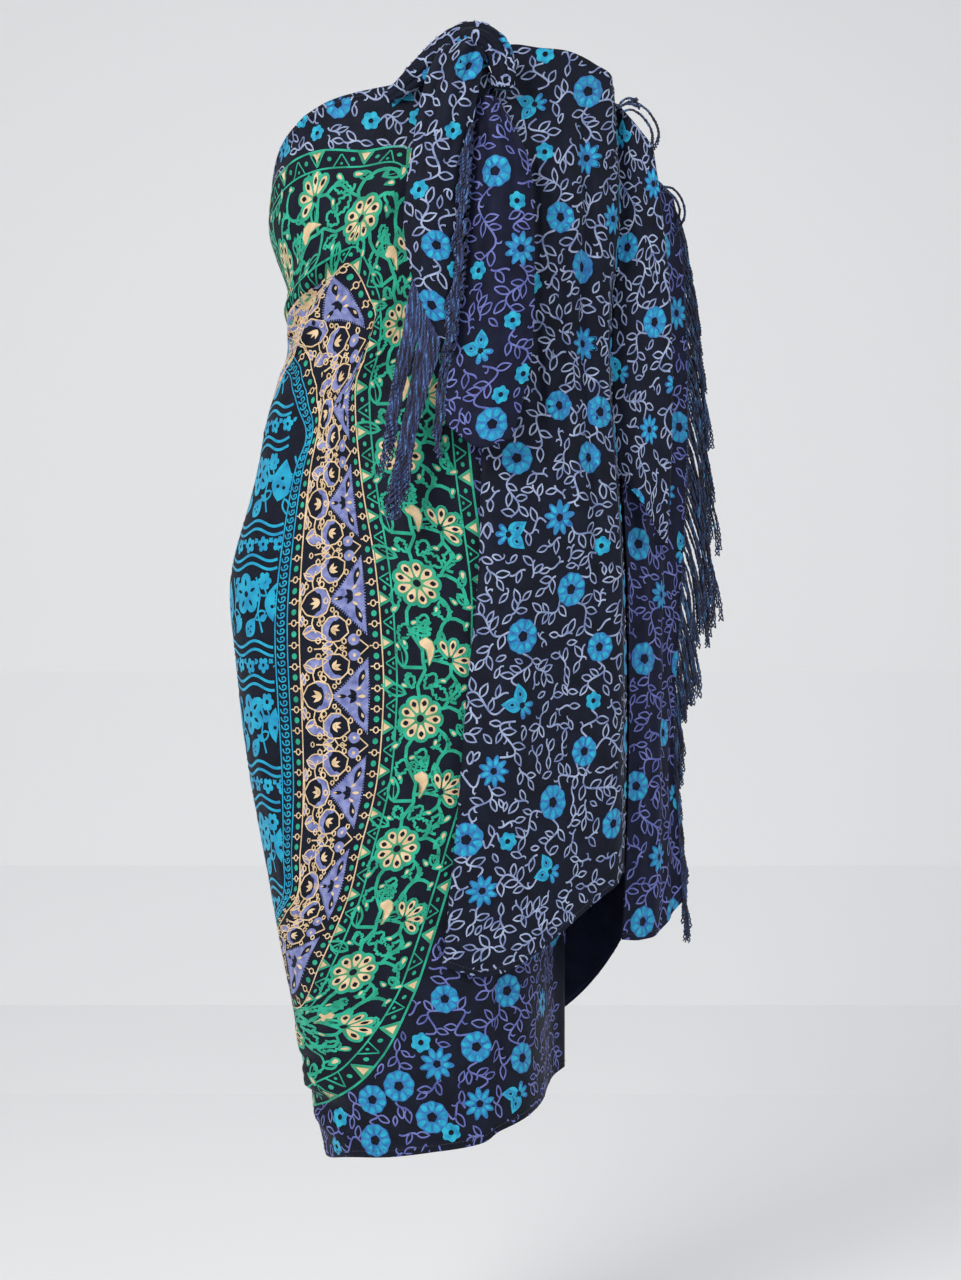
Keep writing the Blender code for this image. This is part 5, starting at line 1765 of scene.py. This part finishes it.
def chain_border(art, rails, outer, inner):
    """Chain of cyan loops between thin lines."""
    length, bend = rails.band((outer + inner) / 2)
    strip = Strip(art, bend)
    strip.line(length, outer, 0.0014, "teal")
    strip.line(length, inner, 0.0016, "teal")
    x = 0.004
    while x < length - 0.006:
        y = (outer + inner) / 2
        strip.stroke(CHAIN_HOOP + (x, y), 0.0016, "teal")
        x += 0.0080


# %% [markdown]
# ## The cyan field
# Inside the borders the ground is crossed by pairs of wavy lines. Between them lie rows of large cyan
# blossoms and leaves with dark cut-outs, and narrower rows of small flowers.

# %% Motifs of the cyan field
FIELD_PITCH = 0.122


def big_blossom(art, place, size, turn):
    """Broad cyan blossom with dark cut-outs."""
    art.fill(turned(lobed(size, 5, 0.30, 30, 0.7), place, turn), "teal")
    for k in range(5):
        a = turn + 2 * math.pi * k / 5
        at = toward(place, 0.34 * size, a)
        art.fill(turned(almond(size * 0.40, size * 0.17, 8), at, a), "ground", 2)
    art.fill(turned(lobed(size * 0.16, 5, 0.1, 10), place), "ground", 2)


def pointed_blossom(art, place, size, turn):
    """Cyan blossom like an opened bud, with three dark seeds."""
    foot = turned([(-size * 1.1, 0)], place, turn)[0]
    art.fill(turned(almond(size * 2.2, size * 1.5, 20, 0.8), foot, turn), "teal")
    for x, y in ((-0.35, 0.22), (-0.35, -0.22), (0.10, 0.0)):
        seed = turned([(x * size, y * size)], place, turn)[0]
        art.fill(oval(seed, size * 0.24, size * 0.20, 8), "ground", 2)


def field_row(art, rng, level, low, high):
    """One repeat of the field: wavy lines, small flowers, wavy lines and a row of large forms."""
    u = np.arange(low, high, 0.004)
    for drop in (0.0, 0.0085, 0.0350, 0.0435):
        wave = 0.0034 * np.sin(2 * math.pi * (u / 0.054) + (0.4 if drop > 0.02 else 0.0))
        art.stroke(np.stack([u, level - drop + wave], 1), 0.0029, "teal")
    x = low
    while x < high:
        place = (x, level - 0.0218 + rng.uniform(-0.001, 0.001))
        outer = turned(lobed(0.0084, 5, 0.34, 20, 0.8), place, rng.uniform(0, 1))
        art.collar(outer, turned(lobed(0.0019, 5, 0.0, 20), place), "teal")
        for side in (-1, 1):
            root = (x + side * 0.0078, place[1] + 0.002)
            art.fill(turned(almond(0.0072, 0.0042, 8), root, 1.57 - side * 0.9), "teal")
        x += 0.0215
    x = low + 0.01
    k = 0
    while x < high:
        middle = level - 0.0825
        if k % 2:
            big_blossom(art, (x, middle + 0.011), 0.0215, rng.uniform(0, 1))
            pointed_blossom(art, (x + 0.006, middle - 0.0225), 0.0110, 0.9)
            art.fill(turned(almond(0.023, 0.0120, 12), (x - 0.010, middle - 0.013), 3.9), "teal")
        else:
            pointed_blossom(art, (x, middle + 0.004), 0.0200, 1.35)
            for a in (2.5, 3.6, 5.0, 5.9):
                root = (x + 0.017 * math.cos(a), middle + 0.016 * math.sin(a))
                art.stroke(turned(almond(0.017, 0.0085, 12), root, a), 0.0022, "teal", True)
            small_flower_teal(art, (x - 0.016, middle + 0.024), 0.0095)
        art.stroke([(x + 0.016, middle + 0.028), (x + 0.022, middle + 0.010), (x + 0.018, middle - 0.008),
                    (x + 0.024, middle - 0.028)], 0.0024, "teal")
        for y in (0.022, 0.004, -0.016):
            lean = rng.choice((0.5, 2.6))
            art.fill(turned(almond(0.0125, 0.0070, 10), (x + 0.021, middle + y), lean), "teal")
        x += 0.0440
        k += 1


def small_flower_teal(art, place, radius):
    """Small field flower with an open middle."""
    outer = turned(lobed(radius, 6, 0.28, 24, 0.8), place)
    art.collar(outer, turned(lobed(radius * 0.26, 3, 0.0, 24), place), "teal")


def clipped(art, allowed):
    """Leaves out the triangles of a print that reach outside an area."""
    points = np.vstack(art.points)
    inside = allowed(points)
    faces = np.concatenate(art.faces)
    keep = inside[faces].all(axis=1)
    made = Print()
    made.points = [points]
    made.layers = [np.concatenate(art.layers)]
    made.faces = [faces[keep]]
    made.inks = [ink for ink, kept in zip(art.inks, keep) if kept]
    made.count = len(points)
    return made


# %% The whole medallion on the flat cloth
# Each line holds its depth inwards from the outer rail, its width and its dye
BORDER_LINES = ((0.0, 0.0022, "green"), (0.0145, 0.0018, "green"), (0.091, 0.0018, "green"),
                (0.105, 0.0013, "cream"), (0.183, 0.0013, "cream"))
DAISY_DEPTH = 0.052
LAVENDER_DEPTH = 0.150
FIELD_TOP = -0.290
medallion = Print()
rng = random.Random(5)
for depth, width, ink in BORDER_LINES:
    length, bend = round_rails.band(depth)
    Strip(medallion, bend).line(length, depth, width, ink)
triangle_border(medallion, round_rails, 0.0005, 0.0140, 0.052, rng)
triangle_border(medallion, round_rails, 0.0915, 0.1045, 0.042, rng)
length, bend = round_rails.band(DAISY_DEPTH)
count = round(length / DAISY_PITCH)
for k in range(count):
    daisy_unit(Strip(medallion, bend, DAISY_START + k * length / count), rng)
print(count, "daisies round the medallion")
ring_border(medallion, round_rails, 0.105, 0.1165, rng)
ring_border(medallion, round_rails, 0.183, 0.1945, rng)
length, bend = round_rails.band(LAVENDER_DEPTH)
count = round(length / LAVENDER_PITCH)
for k in range(count):
    lavender_unit(Strip(medallion, bend, (k + 0.5) * length / count), rng)
chain_border(medallion, round_rails, 0.1960, 0.2100)
field_art = Print()
for k in range(-1, 8):
    field_row(field_art, rng, FIELD_TOP - k * FIELD_PITCH, -0.62, -0.16)
field_art = clipped(field_art, lambda points: within(FIELD, points))
print("medallion holds", sum(len(f) for f in medallion.faces), "triangles, its field",
      sum(len(f) for f in field_art.faces))

# %% [markdown]
# ## Prints of the wound cloth
# Outside the medallion the wound cloth shows the vine field again: a band along the top and the corner
# below. Where the camera sees them, its flowers are charted, and elsewhere they lie in loose rows.

# %% Lay the prints on the front and back
TOP_CHART = (
    (340, 105, "ring"), (300, 118, "small"), (398, 90, "wing"), (372, 122, "small"), (417, 118, "small"),
    (318, 135, "small"), (285, 150, "wing"))
LOW_CHART = (
    (506, 990, "ring"), (446, 1000, "ring"), (540, 1002, "star"), (478, 1048, "ring"), (420, 1040, "small"),
    (438, 1066, "star"), (522, 1060, "ring"), (400, 1086, "ring"), (482, 1104, "star"), (430, 1118, "ring"),
    (372, 1102, "ring"), (520, 1095, "wing"), (376, 1140, "ring"), (340, 1118, "small"), (450, 1134, "small"),
    (460, 960, "small"), (338, 1146, "small"))


def outside(points):
    """True beside the medallion."""
    return ~within(OUTLINE, points)


side_art = Print()
vine_field(side_art, front_cloth.flowers(TOP_CHART), (-0.32, -0.14), (0.03, 0.03), 21, "lilac", outside,
           0.0160)
vine_field(side_art, front_cloth.flowers(LOW_CHART), (-0.22, -1.07), (0.22, -0.84), 22, "violet", outside,
           0.0160)
inner_flowers = staggered((0.03, -0.84), (0.30, 0.0), 0.078, 23)
vine_field(side_art, inner_flowers, (0.03, -0.84), (0.30, 0.03), 23, "violet", outside)
back_flowers = staggered((-1.02, -1.05), (-0.30, 0.0), 0.078, 24)
vine_field(side_art, back_flowers, (-1.02, -1.07), (-0.28, 0.02), 24, "lilac", outside, 0.0170, 1.0)
whole = Print()
for art in (medallion, field_art, side_art):
    whole.take(art)
front_print = lay_print("front_print", front_cloth, whole)
back_print = lay_print("back_print", back_cloth, whole)

# %% Lay the prints on the loose end, the tails and the knot
def field_print(name, cloth, seed, ink="lilac", radius=0.0165, pitch=0.074, chart=None,
                lift=INK_LIFT):
    """A vine field over a whole cloth."""
    art = Print()
    low = (cloth.across.min() - 0.002, cloth.down.min() - 0.002)
    high = (cloth.across.max() + 0.002, cloth.down.max() + 0.002)
    if chart is None:
        flowers = staggered(low, high, pitch, seed)
    else:
        flowers = cloth.flowers(chart)
    vine_field(art, flowers, low, high, seed, ink, None, radius)
    return lay_print(name, cloth, art, lift), art


FACE_CHART = ((436, 244, "ring"), (432, 305, "ring"), (455, 330, "small"), (420, 190, "small"),
              (470, 190, "small"), (452, 130, "small"), (455, 270, "small"), (468, 68, "ring"))
REVERSE_CHART = ((495, 170, "ring"), (520, 248, "star"), (482, 350, "wing"), (492, 424, "ring"),
                 (516, 200, "small"), (480, 270, "small"), (512, 320, "small"), (522, 375, "small"),
                 (500, 395, "small"))
KNOT_LIFT = 0.0012
fold_print, _ = field_print("fold_print", fold_cloth, 31)
end_print, end_art = field_print("end_print", end_cloth, 32, "violet")
end_back = lay_print("end_back_print", end_cloth, end_art, side=-1.0, swap={"violet": "lilac"})
face_print, _ = field_print("tail_face_print", face_tail, 33, chart=FACE_CHART, radius=0.0150,
                            lift=KNOT_LIFT)
reverse_print, _ = field_print("tail_reverse_print", reverse_tail, 34, "violet", chart=REVERSE_CHART,
                               radius=0.0160, lift=KNOT_LIFT)
strap_print, _ = field_print("band_print", strap_cloth, 35, radius=0.0110, pitch=0.046, lift=KNOT_LIFT)
core_print, _ = field_print("core_print", core_cloth, 36, radius=0.0110, pitch=0.046)

# %% [markdown]
# ## Twisted fringe
# The loose end and both tails end in a knotted fringe: each strand is a yarn of three plies, twisted
# hard near the cloth and opening at its tip. A strand repeats along an edge, so Geometry Nodes make it:
# guide lines, one for each strand, go in, every guide is doubled into plies that wind round it, and each
# ply becomes a thin tube. The guides hang from the very edge of the cloth.

# %% Geometry Nodes tree for the yarn
YARN_JITTER = 0.0003


def open_tree(name, sizes):
    """Starts a modifier tree with named inputs. Gives it, their identifiers and their sockets."""
    tree = bpy.data.node_groups.new(name, "GeometryNodeTree")
    tree.is_modifier = True
    tree.interface.new_socket("Geometry", in_out="INPUT", socket_type="NodeSocketGeometry")
    keys = {}
    for label, kind, value in sizes:
        socket = tree.interface.new_socket(label, in_out="INPUT", socket_type="NodeSocket" + kind)
        if value is not None:
            socket.default_value = value
        keys[label] = socket.identifier
    tree.interface.new_socket("Geometry", in_out="OUTPUT", socket_type="NodeSocketGeometry")
    return tree, keys, node(tree, "NodeGroupInput").outputs


def close_tree(tree, geometry, material):
    """Ends a tree with real meshes and their material."""
    real = node(tree, "GeometryNodeRealizeInstances", {"Geometry": geometry})
    dress = node(tree, "GeometryNodeSetMaterial", {
        "Geometry": real.outputs["Geometry"], "Material": material})
    node(tree, "NodeGroupOutput", {"Geometry": dress.outputs["Geometry"]})


def vector_node(tree, operation, *values):
    """Result of a vector math node on vectors, numbers or sockets."""
    slots = (0, "Scale") if operation == "SCALE" else (0, 1, 2)
    return node(tree, "ShaderNodeVectorMath", dict(zip(slots, values)), operation=operation).outputs[0]


def yarn_tree():
    """Turns guide lines into twisted yarns."""
    tree, keys, given = open_tree("twisted_fringe", (
        ("Plies", "Int", 3), ("Ply Radius", "Float", 0.0007), ("Turns", "Float", 7.0), ("Points", "Int", 26),
        ("Open Tip", "Float", 0.0024), ("Seed", "Int", 4), ("Material", "Material", None)))
    guide = node(tree, "GeometryNodeMeshToCurve", {"Mesh": given["Geometry"]})
    even = node(tree, "GeometryNodeResampleCurve", {
        "Curve": guide.outputs["Curve"], "Count": given["Points"]})
    double = node(tree, "GeometryNodeDuplicateElements", domain="SPLINE")
    feed(tree, double, {"Geometry": even.outputs["Curve"], "Amount": given["Plies"]})
    keep = node(tree, "GeometryNodeCaptureAttribute", domain="CURVE")
    keep.capture_items.new("INT", "Ply")
    feed(tree, keep, {"Geometry": double.outputs["Geometry"], "Ply": double.outputs["Duplicate Index"]})
    along = node(tree, "GeometryNodeSplineParameter").outputs["Factor"]
    share = math_node(tree, "DIVIDE", keep.outputs["Ply"], given["Plies"])
    turns = math_node(tree, "ADD", math_node(tree, "MULTIPLY", along, given["Turns"]), share)
    angle = math_node(tree, "MULTIPLY", turns, 2 * math.pi)
    frayed = math_node(tree, "POWER", along, 6.0)
    reach = math_node(tree, "ADD", math_node(tree, "MULTIPLY", given["Ply Radius"], 0.92),
                      math_node(tree, "MULTIPLY", frayed, given["Open Tip"]))
    level = node(tree, "GeometryNodeInputNormal").outputs[0]
    third = vector_node(tree, "CROSS_PRODUCT", node(tree, "GeometryNodeInputTangent").outputs[0], level)
    swing = vector_node(tree, "ADD", vector_node(tree, "SCALE", level, math_node(tree, "COSINE", angle)),
                        vector_node(tree, "SCALE", third, math_node(tree, "SINE", angle)))
    jitter = node(tree, "FunctionNodeRandomValue", data_type="FLOAT_VECTOR")
    feed(tree, jitter, {"Min": (-YARN_JITTER,) * 3, "Max": (YARN_JITTER,) * 3, "Seed": given["Seed"]})
    offset = vector_node(tree, "ADD", vector_node(tree, "SCALE", swing, reach), jitter.outputs[0])
    wind = node(tree, "GeometryNodeSetPosition", {"Geometry": keep.outputs["Geometry"], "Offset": offset})
    thick = node(tree, "GeometryNodeSetCurveRadius", {
        "Curve": wind.outputs["Geometry"], "Radius": given["Ply Radius"]})
    circle = node(tree, "GeometryNodeCurvePrimitiveCircle", {"Resolution": 4, "Radius": 1.0})
    tube = node(tree, "GeometryNodeCurveToMesh", {
        "Curve": thick.outputs["Curve"], "Profile Curve": circle.outputs["Curve"], "Fill Caps": True})
    if "Scale" in tube.inputs:
        feed(tree, tube, {"Scale": node(tree, "GeometryNodeInputRadius").outputs[0]})
    close_tree(tree, tube.outputs["Mesh"], given["Material"])
    return tree, keys


yarn_nodes, yarn_keys = yarn_tree()
print("yarn tree takes", sorted(yarn_keys))


# %% Yarn finish
def yarn_material(name, dark, mid, light):
    """Fringe yarn in uneven lengths from black-blue to cyan, whose pale lengths are partly cyan dye and
    partly painted highlight.
    """
    made = bpy.data.materials.new(name)
    made.use_nodes = True
    tree = made.node_tree
    place = node(tree, "ShaderNodeTexCoord").outputs["Object"]
    lengths = node(tree, "ShaderNodeMapping", {"Vector": place, "Scale": (5.0, 5.0, 0.55)})
    patch = node(tree, "ShaderNodeTexNoise", {
        "Vector": lengths.outputs["Vector"], "Scale": 95.0, "Detail": 2.0})
    ramp = node(tree, "ShaderNodeValToRGB", {"Fac": patch.outputs["Fac"]})
    stops = ramp.color_ramp.elements
    stops.new(0.56)
    for stop, place_on, colour in zip(stops, (0.40, 0.56, 0.72), (dark, mid, light)):
        stop.position = place_on
        stop.color = linear(colour)
    fuzz = node(tree, "ShaderNodeTexNoise", {"Vector": place, "Scale": 900.0})
    bump = node(tree, "ShaderNodeBump", {
        "Strength": 0.5, "Distance": THREAD_DEPTH, "Height": fuzz.outputs["Fac"]})
    feed(tree, tree.nodes["Principled BSDF"], {
        "Roughness": 0.72, "Sheen Weight": 0.15, "Base Color": ramp.outputs["Color"],
        "Normal": bump.outputs["Normal"]})
    made.diffuse_color = linear(mid)
    return made


# The pale stops of both fringe yarns are partly cyan dye and partly painted highlight on the strands.
YARN = yarn_material("fringe_yarn", (11, 13, 28), (34, 44, 88), (56, 128, 176))
TAIL_YARN = yarn_material("tail_fringe_yarn", (11, 14, 32), (46, 56, 108), (92, 146, 200))


# %% [markdown]
# ## Where the strands hang
# A strand leaves the edge outwards, falls over and hangs. Its reach, lean and drift follow the
# photograph along each edge, and neighbours differ a little and gather into tufts.

# %% Guides of the strands
STRAND_POINTS = 20
SEAM_OUT = 0.0006
STRAND_STEP = 0.0018


def strand_guides(root, outward, rows, count, lo, hi, seed, drift=(0.0, 0.0, 0.0), tuft=1, gather=0.0):
    """Guide lines of one fringe. root and outward give places and directions for shares of the edge."""
    rng = random.Random(seed)
    keys = [row[0] for row in rows]
    lines = []
    for k in range(count):
        part = (k + 0.5) / count
        share = lo + (hi - lo) * part
        base = root(share)
        away = outward(share)
        uneven = 1.0 + 0.08 * math.sin(2.3 * k) + rng.uniform(-0.08, 0.08)
        uneven += 0.16 * math.sin(4.1 * (k // tuft) + seed)
        length = float(np.interp(part, keys, [row[1] for row in rows])) * uneven
        lean = float(np.interp(part, keys, [row[2] for row in rows])) * rng.uniform(0.75, 1.1)
        middle = (k // tuft + 0.5) * tuft
        pull = (root(lo + (hi - lo) * min(middle / count, 1.0)) - base) * gather
        across = np.cross(away, (0.0, 0.0, 1.0))
        sway = rng.uniform(-1.0, 1.0) * 0.0024
        phase = rng.uniform(0.0, 6.28)
        side = STRAND_STEP * (1 if k % 2 else -1)
        t = np.linspace(0.0, 1.0, STRAND_POINTS)[:, None]
        out = lean * (1.45 * t - 0.45 * t * t)
        line = base + away * (out * length - SEAM_OUT) + np.array(drift) * length * t ** 1.3
        line = line - np.array([0.0, 0.0, 1.0]) * length * t * (0.62 + 0.38 * t)
        line = line + across * (side * ease(0.0, 0.2, t) + sway * np.sin(phase + 4.0 * t) * t)
        line = line + away * 0.0018 * np.sin(2.0 * phase + 5.0 * t) * t
        swing = across * math.cos(phase) + away * math.sin(phase)
        line = line + swing * 0.0011 * np.sin(phase + 15.0 * t) * t
        line = line + pull * ease(0.05, 0.75, t)
        lines.append(line)
    return lines


def lay_on(lines, cloths, gap):
    """Keeps guide lines in front of the cloths that they hang over."""
    points = np.vstack([cloth.points.reshape(-1, 3) for cloth in cloths])
    for line in lines:
        away = np.hypot(line[:, None, 0] - points[None, :, 0], line[:, None, 2] - points[None, :, 2])
        front = np.where(away < 0.006, points[None, :, 1], 1.0).min(axis=1)
        push = np.minimum(front - gap - line[:, 1], 0.0)
        push[0] = 0.0
        line[:, 1] += push
    return lines


def run_tree(name, lines, tree, keys, values, reach=1.0):
    """Runs a tree over lines of points, broken where neighbours are further apart than reach."""
    edges, start = [], 0
    for line in lines:
        gaps = np.linalg.norm(np.diff(line, axis=0), axis=1)
        edges += [(start + i, start + i + 1) for i in range(len(line) - 1) if gaps[i] < reach]
        start += len(line)
    mesh = bpy.data.meshes.new(name + "_lines")
    mesh.from_pydata(np.vstack(lines).tolist(), edges, [])
    worker = added(name + "_lines", mesh)
    modifier = worker.modifiers.new("repeat", "NODES")
    modifier.node_group = tree
    for key, value in values.items():
        modifier[keys[key]] = value
    return plain_result(name, worker)


def fringe(name, lines, material, turns, radius=0.0007, points=26, plies=3, open_tip=0.0022, seed=4):
    """One fringe of twisted yarns along its guide lines."""
    return run_tree(name, lines, yarn_nodes, yarn_keys, {
        "Plies": plies, "Ply Radius": radius, "Turns": turns, "Points": points, "Open Tip": open_tip,
        "Seed": seed, "Material": material})


def plain_result(name, worker):
    """Keeps the evaluated mesh of a worker object as a plain piece."""
    bpy.context.view_layer.update()
    evaluated = worker.evaluated_get(bpy.context.evaluated_depsgraph_get())
    mesh = bpy.data.meshes.new_from_object(evaluated)
    mesh.name = name
    bpy.data.objects.remove(worker, do_unlink=True)
    piece = added(name, mesh)
    mesh.shade_smooth()
    triangles = sum(len(face.vertices) - 2 for face in mesh.polygons)
    print(name, triangles, "triangles")
    return piece


def end_root(share):
    """Place on the free edge of the loose end."""
    return end_points(np.array([1.0]), np.array([share]))[0]


def end_outward(share):
    """Direction away from the cloth on the free edge of the loose end."""
    way = end_root(share) - end_points(np.array([0.94]), np.array([share]))[0]
    way[2] = 0.0
    return way / np.linalg.norm(way)


def tail_edge(points):
    """Place and outward direction functions for the left edge of a tail."""
    keys = np.linspace(0.0, 1.0, len(points))

    def root(share):
        return np.array([np.interp(share, keys, points[:, 0, axis]) for axis in range(3)])

    def outward(share):
        inner = np.array([np.interp(share, keys, points[:, 2, axis]) for axis in range(3)])
        way = root(share) - inner
        return way / np.linalg.norm(way)

    return root, outward


# Each row holds how far along the edge it counts, the strand's length in metres and its outward lean
UPPER_ROWS = ((0.0, 0.052, 0.34), (0.20, 0.082, 0.36), (0.45, 0.100, 0.34), (0.70, 0.115, 0.32),
              (1.0, 0.120, 0.30))
LOWER_ROWS = ((0.0, 0.095, 0.26), (0.35, 0.062, 0.20), (0.60, 0.052, 0.14), (1.0, 0.080, 0.12))
FACE_ROWS = ((0.0, 0.125, 0.02), (0.40, 0.170, 0.02), (0.75, 0.180, 0.02), (1.0, 0.150, 0.02))
REVERSE_ROWS = ((0.0, 0.040, 0.34), (0.5, 0.048, 0.36), (1.0, 0.056, 0.26))

LOOPS = (
    ((0.181, -0.066, 0.010), (0.194, -0.060, 0.018), (0.210, -0.054, 0.011), (0.221, -0.050, -0.005),
     (0.222, -0.050, -0.019), (0.215, -0.056, -0.031)),
    ((0.183, -0.064, 0.006), (0.195, -0.058, 0.010), (0.207, -0.052, 0.003), (0.215, -0.050, -0.009),
     (0.216, -0.052, -0.022), (0.211, -0.057, -0.030)),
    ((0.230, -0.006, -0.058), (0.243, 0.000, -0.060), (0.253, 0.006, -0.074), (0.254, 0.010, -0.088),
     (0.246, 0.014, -0.101), (0.240, 0.014, -0.108)),
    ((0.231, -0.004, -0.062), (0.242, 0.004, -0.066), (0.249, 0.010, -0.078), (0.247, 0.014, -0.091),
     (0.240, 0.014, -0.100)),
    ((0.180, -0.068, 0.012), (0.189, -0.064, 0.020), (0.200, -0.060, 0.019)),
    ((0.180, -0.067, 0.010), (0.190, -0.062, 0.015), (0.203, -0.058, 0.013)))
loop_lines = []
for row in LOOPS:
    stations = np.linspace(0, len(row) - 1, STRAND_POINTS)
    loop_lines.append(np.stack([smooth(np.arange(len(row)), [place[axis] for place in row], stations)
                                for axis in range(3)], axis=1))
upper_lines = strand_guides(end_root, end_outward, UPPER_ROWS, 84, 0.015, 0.500, 41, tuft=7, gather=0.55)
upper_yarn = fringe("fringe_upper_yarn", upper_lines + loop_lines, YARN, 7.0, radius=0.0008)
lower_lines = strand_guides(end_root, end_outward, LOWER_ROWS, 70, 0.505, 0.970, 42, tuft=7, gather=0.55)
lower_yarn = fringe("fringe_lower_yarn", lower_lines, YARN, 5.0, radius=0.0008)
face_root, face_outward = tail_edge(face_points)
face_lines = strand_guides(face_root, face_outward, FACE_ROWS, 46, 0.80, 0.996, 43, (-0.20, -0.03, 0.0),
                           tuft=23, gather=0.50)
face_lines = lay_on(face_lines, (front_cloth, flap_cloth), 0.0030)
face_yarn = fringe("fringe_face_yarn", face_lines, TAIL_YARN, 9.0, radius=0.0009, points=34,
                   open_tip=0.0036)
reverse_root, reverse_outward = tail_edge(reverse_points)
reverse_lines = strand_guides(reverse_root, reverse_outward, REVERSE_ROWS, 44, 0.08, 0.97, 44, tuft=4,
                              gather=0.3)
reverse_lines = lay_on(reverse_lines, (face_tail,), 0.0016)
reverse_yarn = fringe("fringe_reverse_yarn", reverse_lines, TAIL_YARN, 4.0, radius=0.0009, points=18)

# %% [markdown]
# ## Hem stitches
# Every long edge is turned over twice and sewn with small straight stitches a few millimetres in from
# the edge. They repeat along a line, so a second tree lays one short thread at each step of the line.

# %% Geometry Nodes tree for the stitches
def stitch_tree():
    """Lays short threads along lines."""
    tree, keys, given = open_tree("hem_stitches", (
        ("Spacing", "Float", 0.0034), ("Stitch Length", "Float", 0.0023), ("Thread Radius", "Float", 0.00028),
        ("Material", "Material", None)))
    line = node(tree, "GeometryNodeMeshToCurve", {"Mesh": given["Geometry"]})
    even = node(tree, "GeometryNodeResampleCurve", {
        "Curve": line.outputs["Curve"], "Length": given["Spacing"]}, mode="LENGTH")
    thread = node(tree, "GeometryNodeMeshCylinder", {
        "Vertices": 5, "Radius": given["Thread Radius"], "Depth": given["Stitch Length"]})
    tangent = node(tree, "GeometryNodeInputTangent").outputs[0]
    aim = node(tree, "FunctionNodeAlignRotationToVector", {"Vector": tangent}, axis="Z")
    lay = node(tree, "GeometryNodeInstanceOnPoints", {
        "Points": even.outputs["Curve"], "Instance": thread.outputs["Mesh"],
        "Rotation": aim.outputs["Rotation"]})
    close_tree(tree, lay.outputs["Instances"], given["Material"])
    return tree, keys


stitch_nodes, stitch_keys = stitch_tree()
STITCH_LIFT = 0.00085
STITCH_SPACING = 0.0034


def edge_line(cloth, inset, edge="hem"):
    """Line on the printed face a little way in from the hem, the top or the left edge."""
    ahead = np.linspace(0.0, 1.0, 400)
    place = {"hem": (-1, slice(None)), "top": (0, slice(None)), "left": (slice(None), 0)}[edge]
    across, down = cloth.across[place], cloth.down[place]
    keys = np.linspace(0, 1, len(across))
    u = np.interp(ahead, keys, across) + (inset if edge == "left" else 0.0)
    v = np.interp(ahead, keys, down) + {"hem": inset, "top": -inset, "left": 0.0}[edge]
    placed, ok = cloth.place(np.stack([u, v], 1), np.full(len(u), STITCH_LIFT))
    return placed[ok]


def stitches(name, *lines):
    """Rows of straight stitches along some lines."""
    return run_tree(name, lines, stitch_nodes, stitch_keys, {
        "Spacing": STITCH_SPACING, "Stitch Length": STITCH_SPACING * 0.68, "Thread Radius": 0.00028,
        "Material": THREAD}, 0.02)


HEM_INSET = 0.0062
TOP_INSET = 0.0050
THREAD = yarn_material("sewing_thread", (34, 32, 46), (48, 46, 66), (66, 64, 92))
front_stitches = stitches("front_stitches", edge_line(front_cloth, HEM_INSET),
                          edge_line(front_cloth, TOP_INSET, "top"))
back_stitches = stitches("back_stitches", edge_line(back_cloth, HEM_INSET),
                         edge_line(back_cloth, TOP_INSET, "top"))
flap_stitches = stitches("flap_stitches", edge_line(flap_cloth, HEM_INSET),
                         edge_line(flap_cloth, TOP_INSET, "left"))
end_stitches = stitches("end_stitches", edge_line(end_cloth, HEM_INSET))

# %% [markdown]
# ## Joining the frame
# Last, every piece and what goes with it ride on the root, the solids that each piece stands for are
# hidden, and how large each cloth was cut before it was worn is printed.

# %% Ride on the root and hide the solids
STANDS_FOR = (
    (front, "cloth_wrap", ("wrap_front", "wrap_inner", "wrap_tucked"), front_cloth,
     (front_print, front_stitches)),
    (back, "cloth_wrap", ("wrap_back", "wrap_side"), back_cloth, (back_print, back_stitches)),
    (flap, "cloth_flap", ("front_flap",), flap_cloth, (flap_print, flap_stitches)),
    (fold, "cloth_flap", ("cascade_fold",), fold_cloth, (fold_print,)),
    (end, "cloth_reverse", ("cascade_end",), end_cloth,
     (end_print, end_back, end_stitches, upper_yarn, lower_yarn)),
    (tail_face, "cloth_knot", ("knot_tail_face",), face_tail, (face_print, face_yarn)),
    (tail_reverse, "cloth_reverse", ("knot_tail_reverse",), reverse_tail, (reverse_print, reverse_yarn)),
    (strap, "cloth_knot", ("knot_strap",), strap_cloth, (strap_print,)),
    (core, "cloth_knot", ("knot_core",), core_cloth, (core_print,)))
FRINGES = ((upper_yarn, "fringe_upper"), (lower_yarn, "fringe_lower"), (face_yarn, "fringe_tail_face"),
           (reverse_yarn, "fringe_tail_reverse"))


def flat_size(cloth):
    """Width, length and area of a cloth before it was worn. A rolled band counts as pressed flat."""
    folded = 0.5 if cloth in (strap_cloth, core_cloth) else 1.0
    rows = np.linalg.norm(np.diff(cloth.points, axis=1), axis=2).sum(axis=1)
    falls = np.linalg.norm(np.diff(cloth.points, axis=0), axis=2).sum(axis=0)
    a = np.diff(cloth.points[:-1], axis=1)
    b = np.diff(cloth.points[:, :-1], axis=0)
    area = float(np.linalg.norm(np.cross(a, b), axis=2).sum())
    return float(rows.max()) * folded, float(falls.max()), area * folded


for piece, slot, nodes, cloth, with_pieces in STANDS_FOR:
    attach(piece, "root")
    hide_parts(*nodes)
    for other in with_pieces:
        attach(other, "root")
        slot if "yarn" not in other.name else "fringe_yarn"
    width, length, area = flat_size(cloth)
    rests = [name for name in ("knot_core", "wrap_front", "wrap_side") if name not in nodes][:1]
    min(area, width * length)
    list(with_pieces)
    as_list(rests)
    print(piece.name, "was cut", round(width, 3), "by", round(length, 3), "m, area", round(area, 3))
for piece, strip_solid in FRINGES:
    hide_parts(strip_solid)
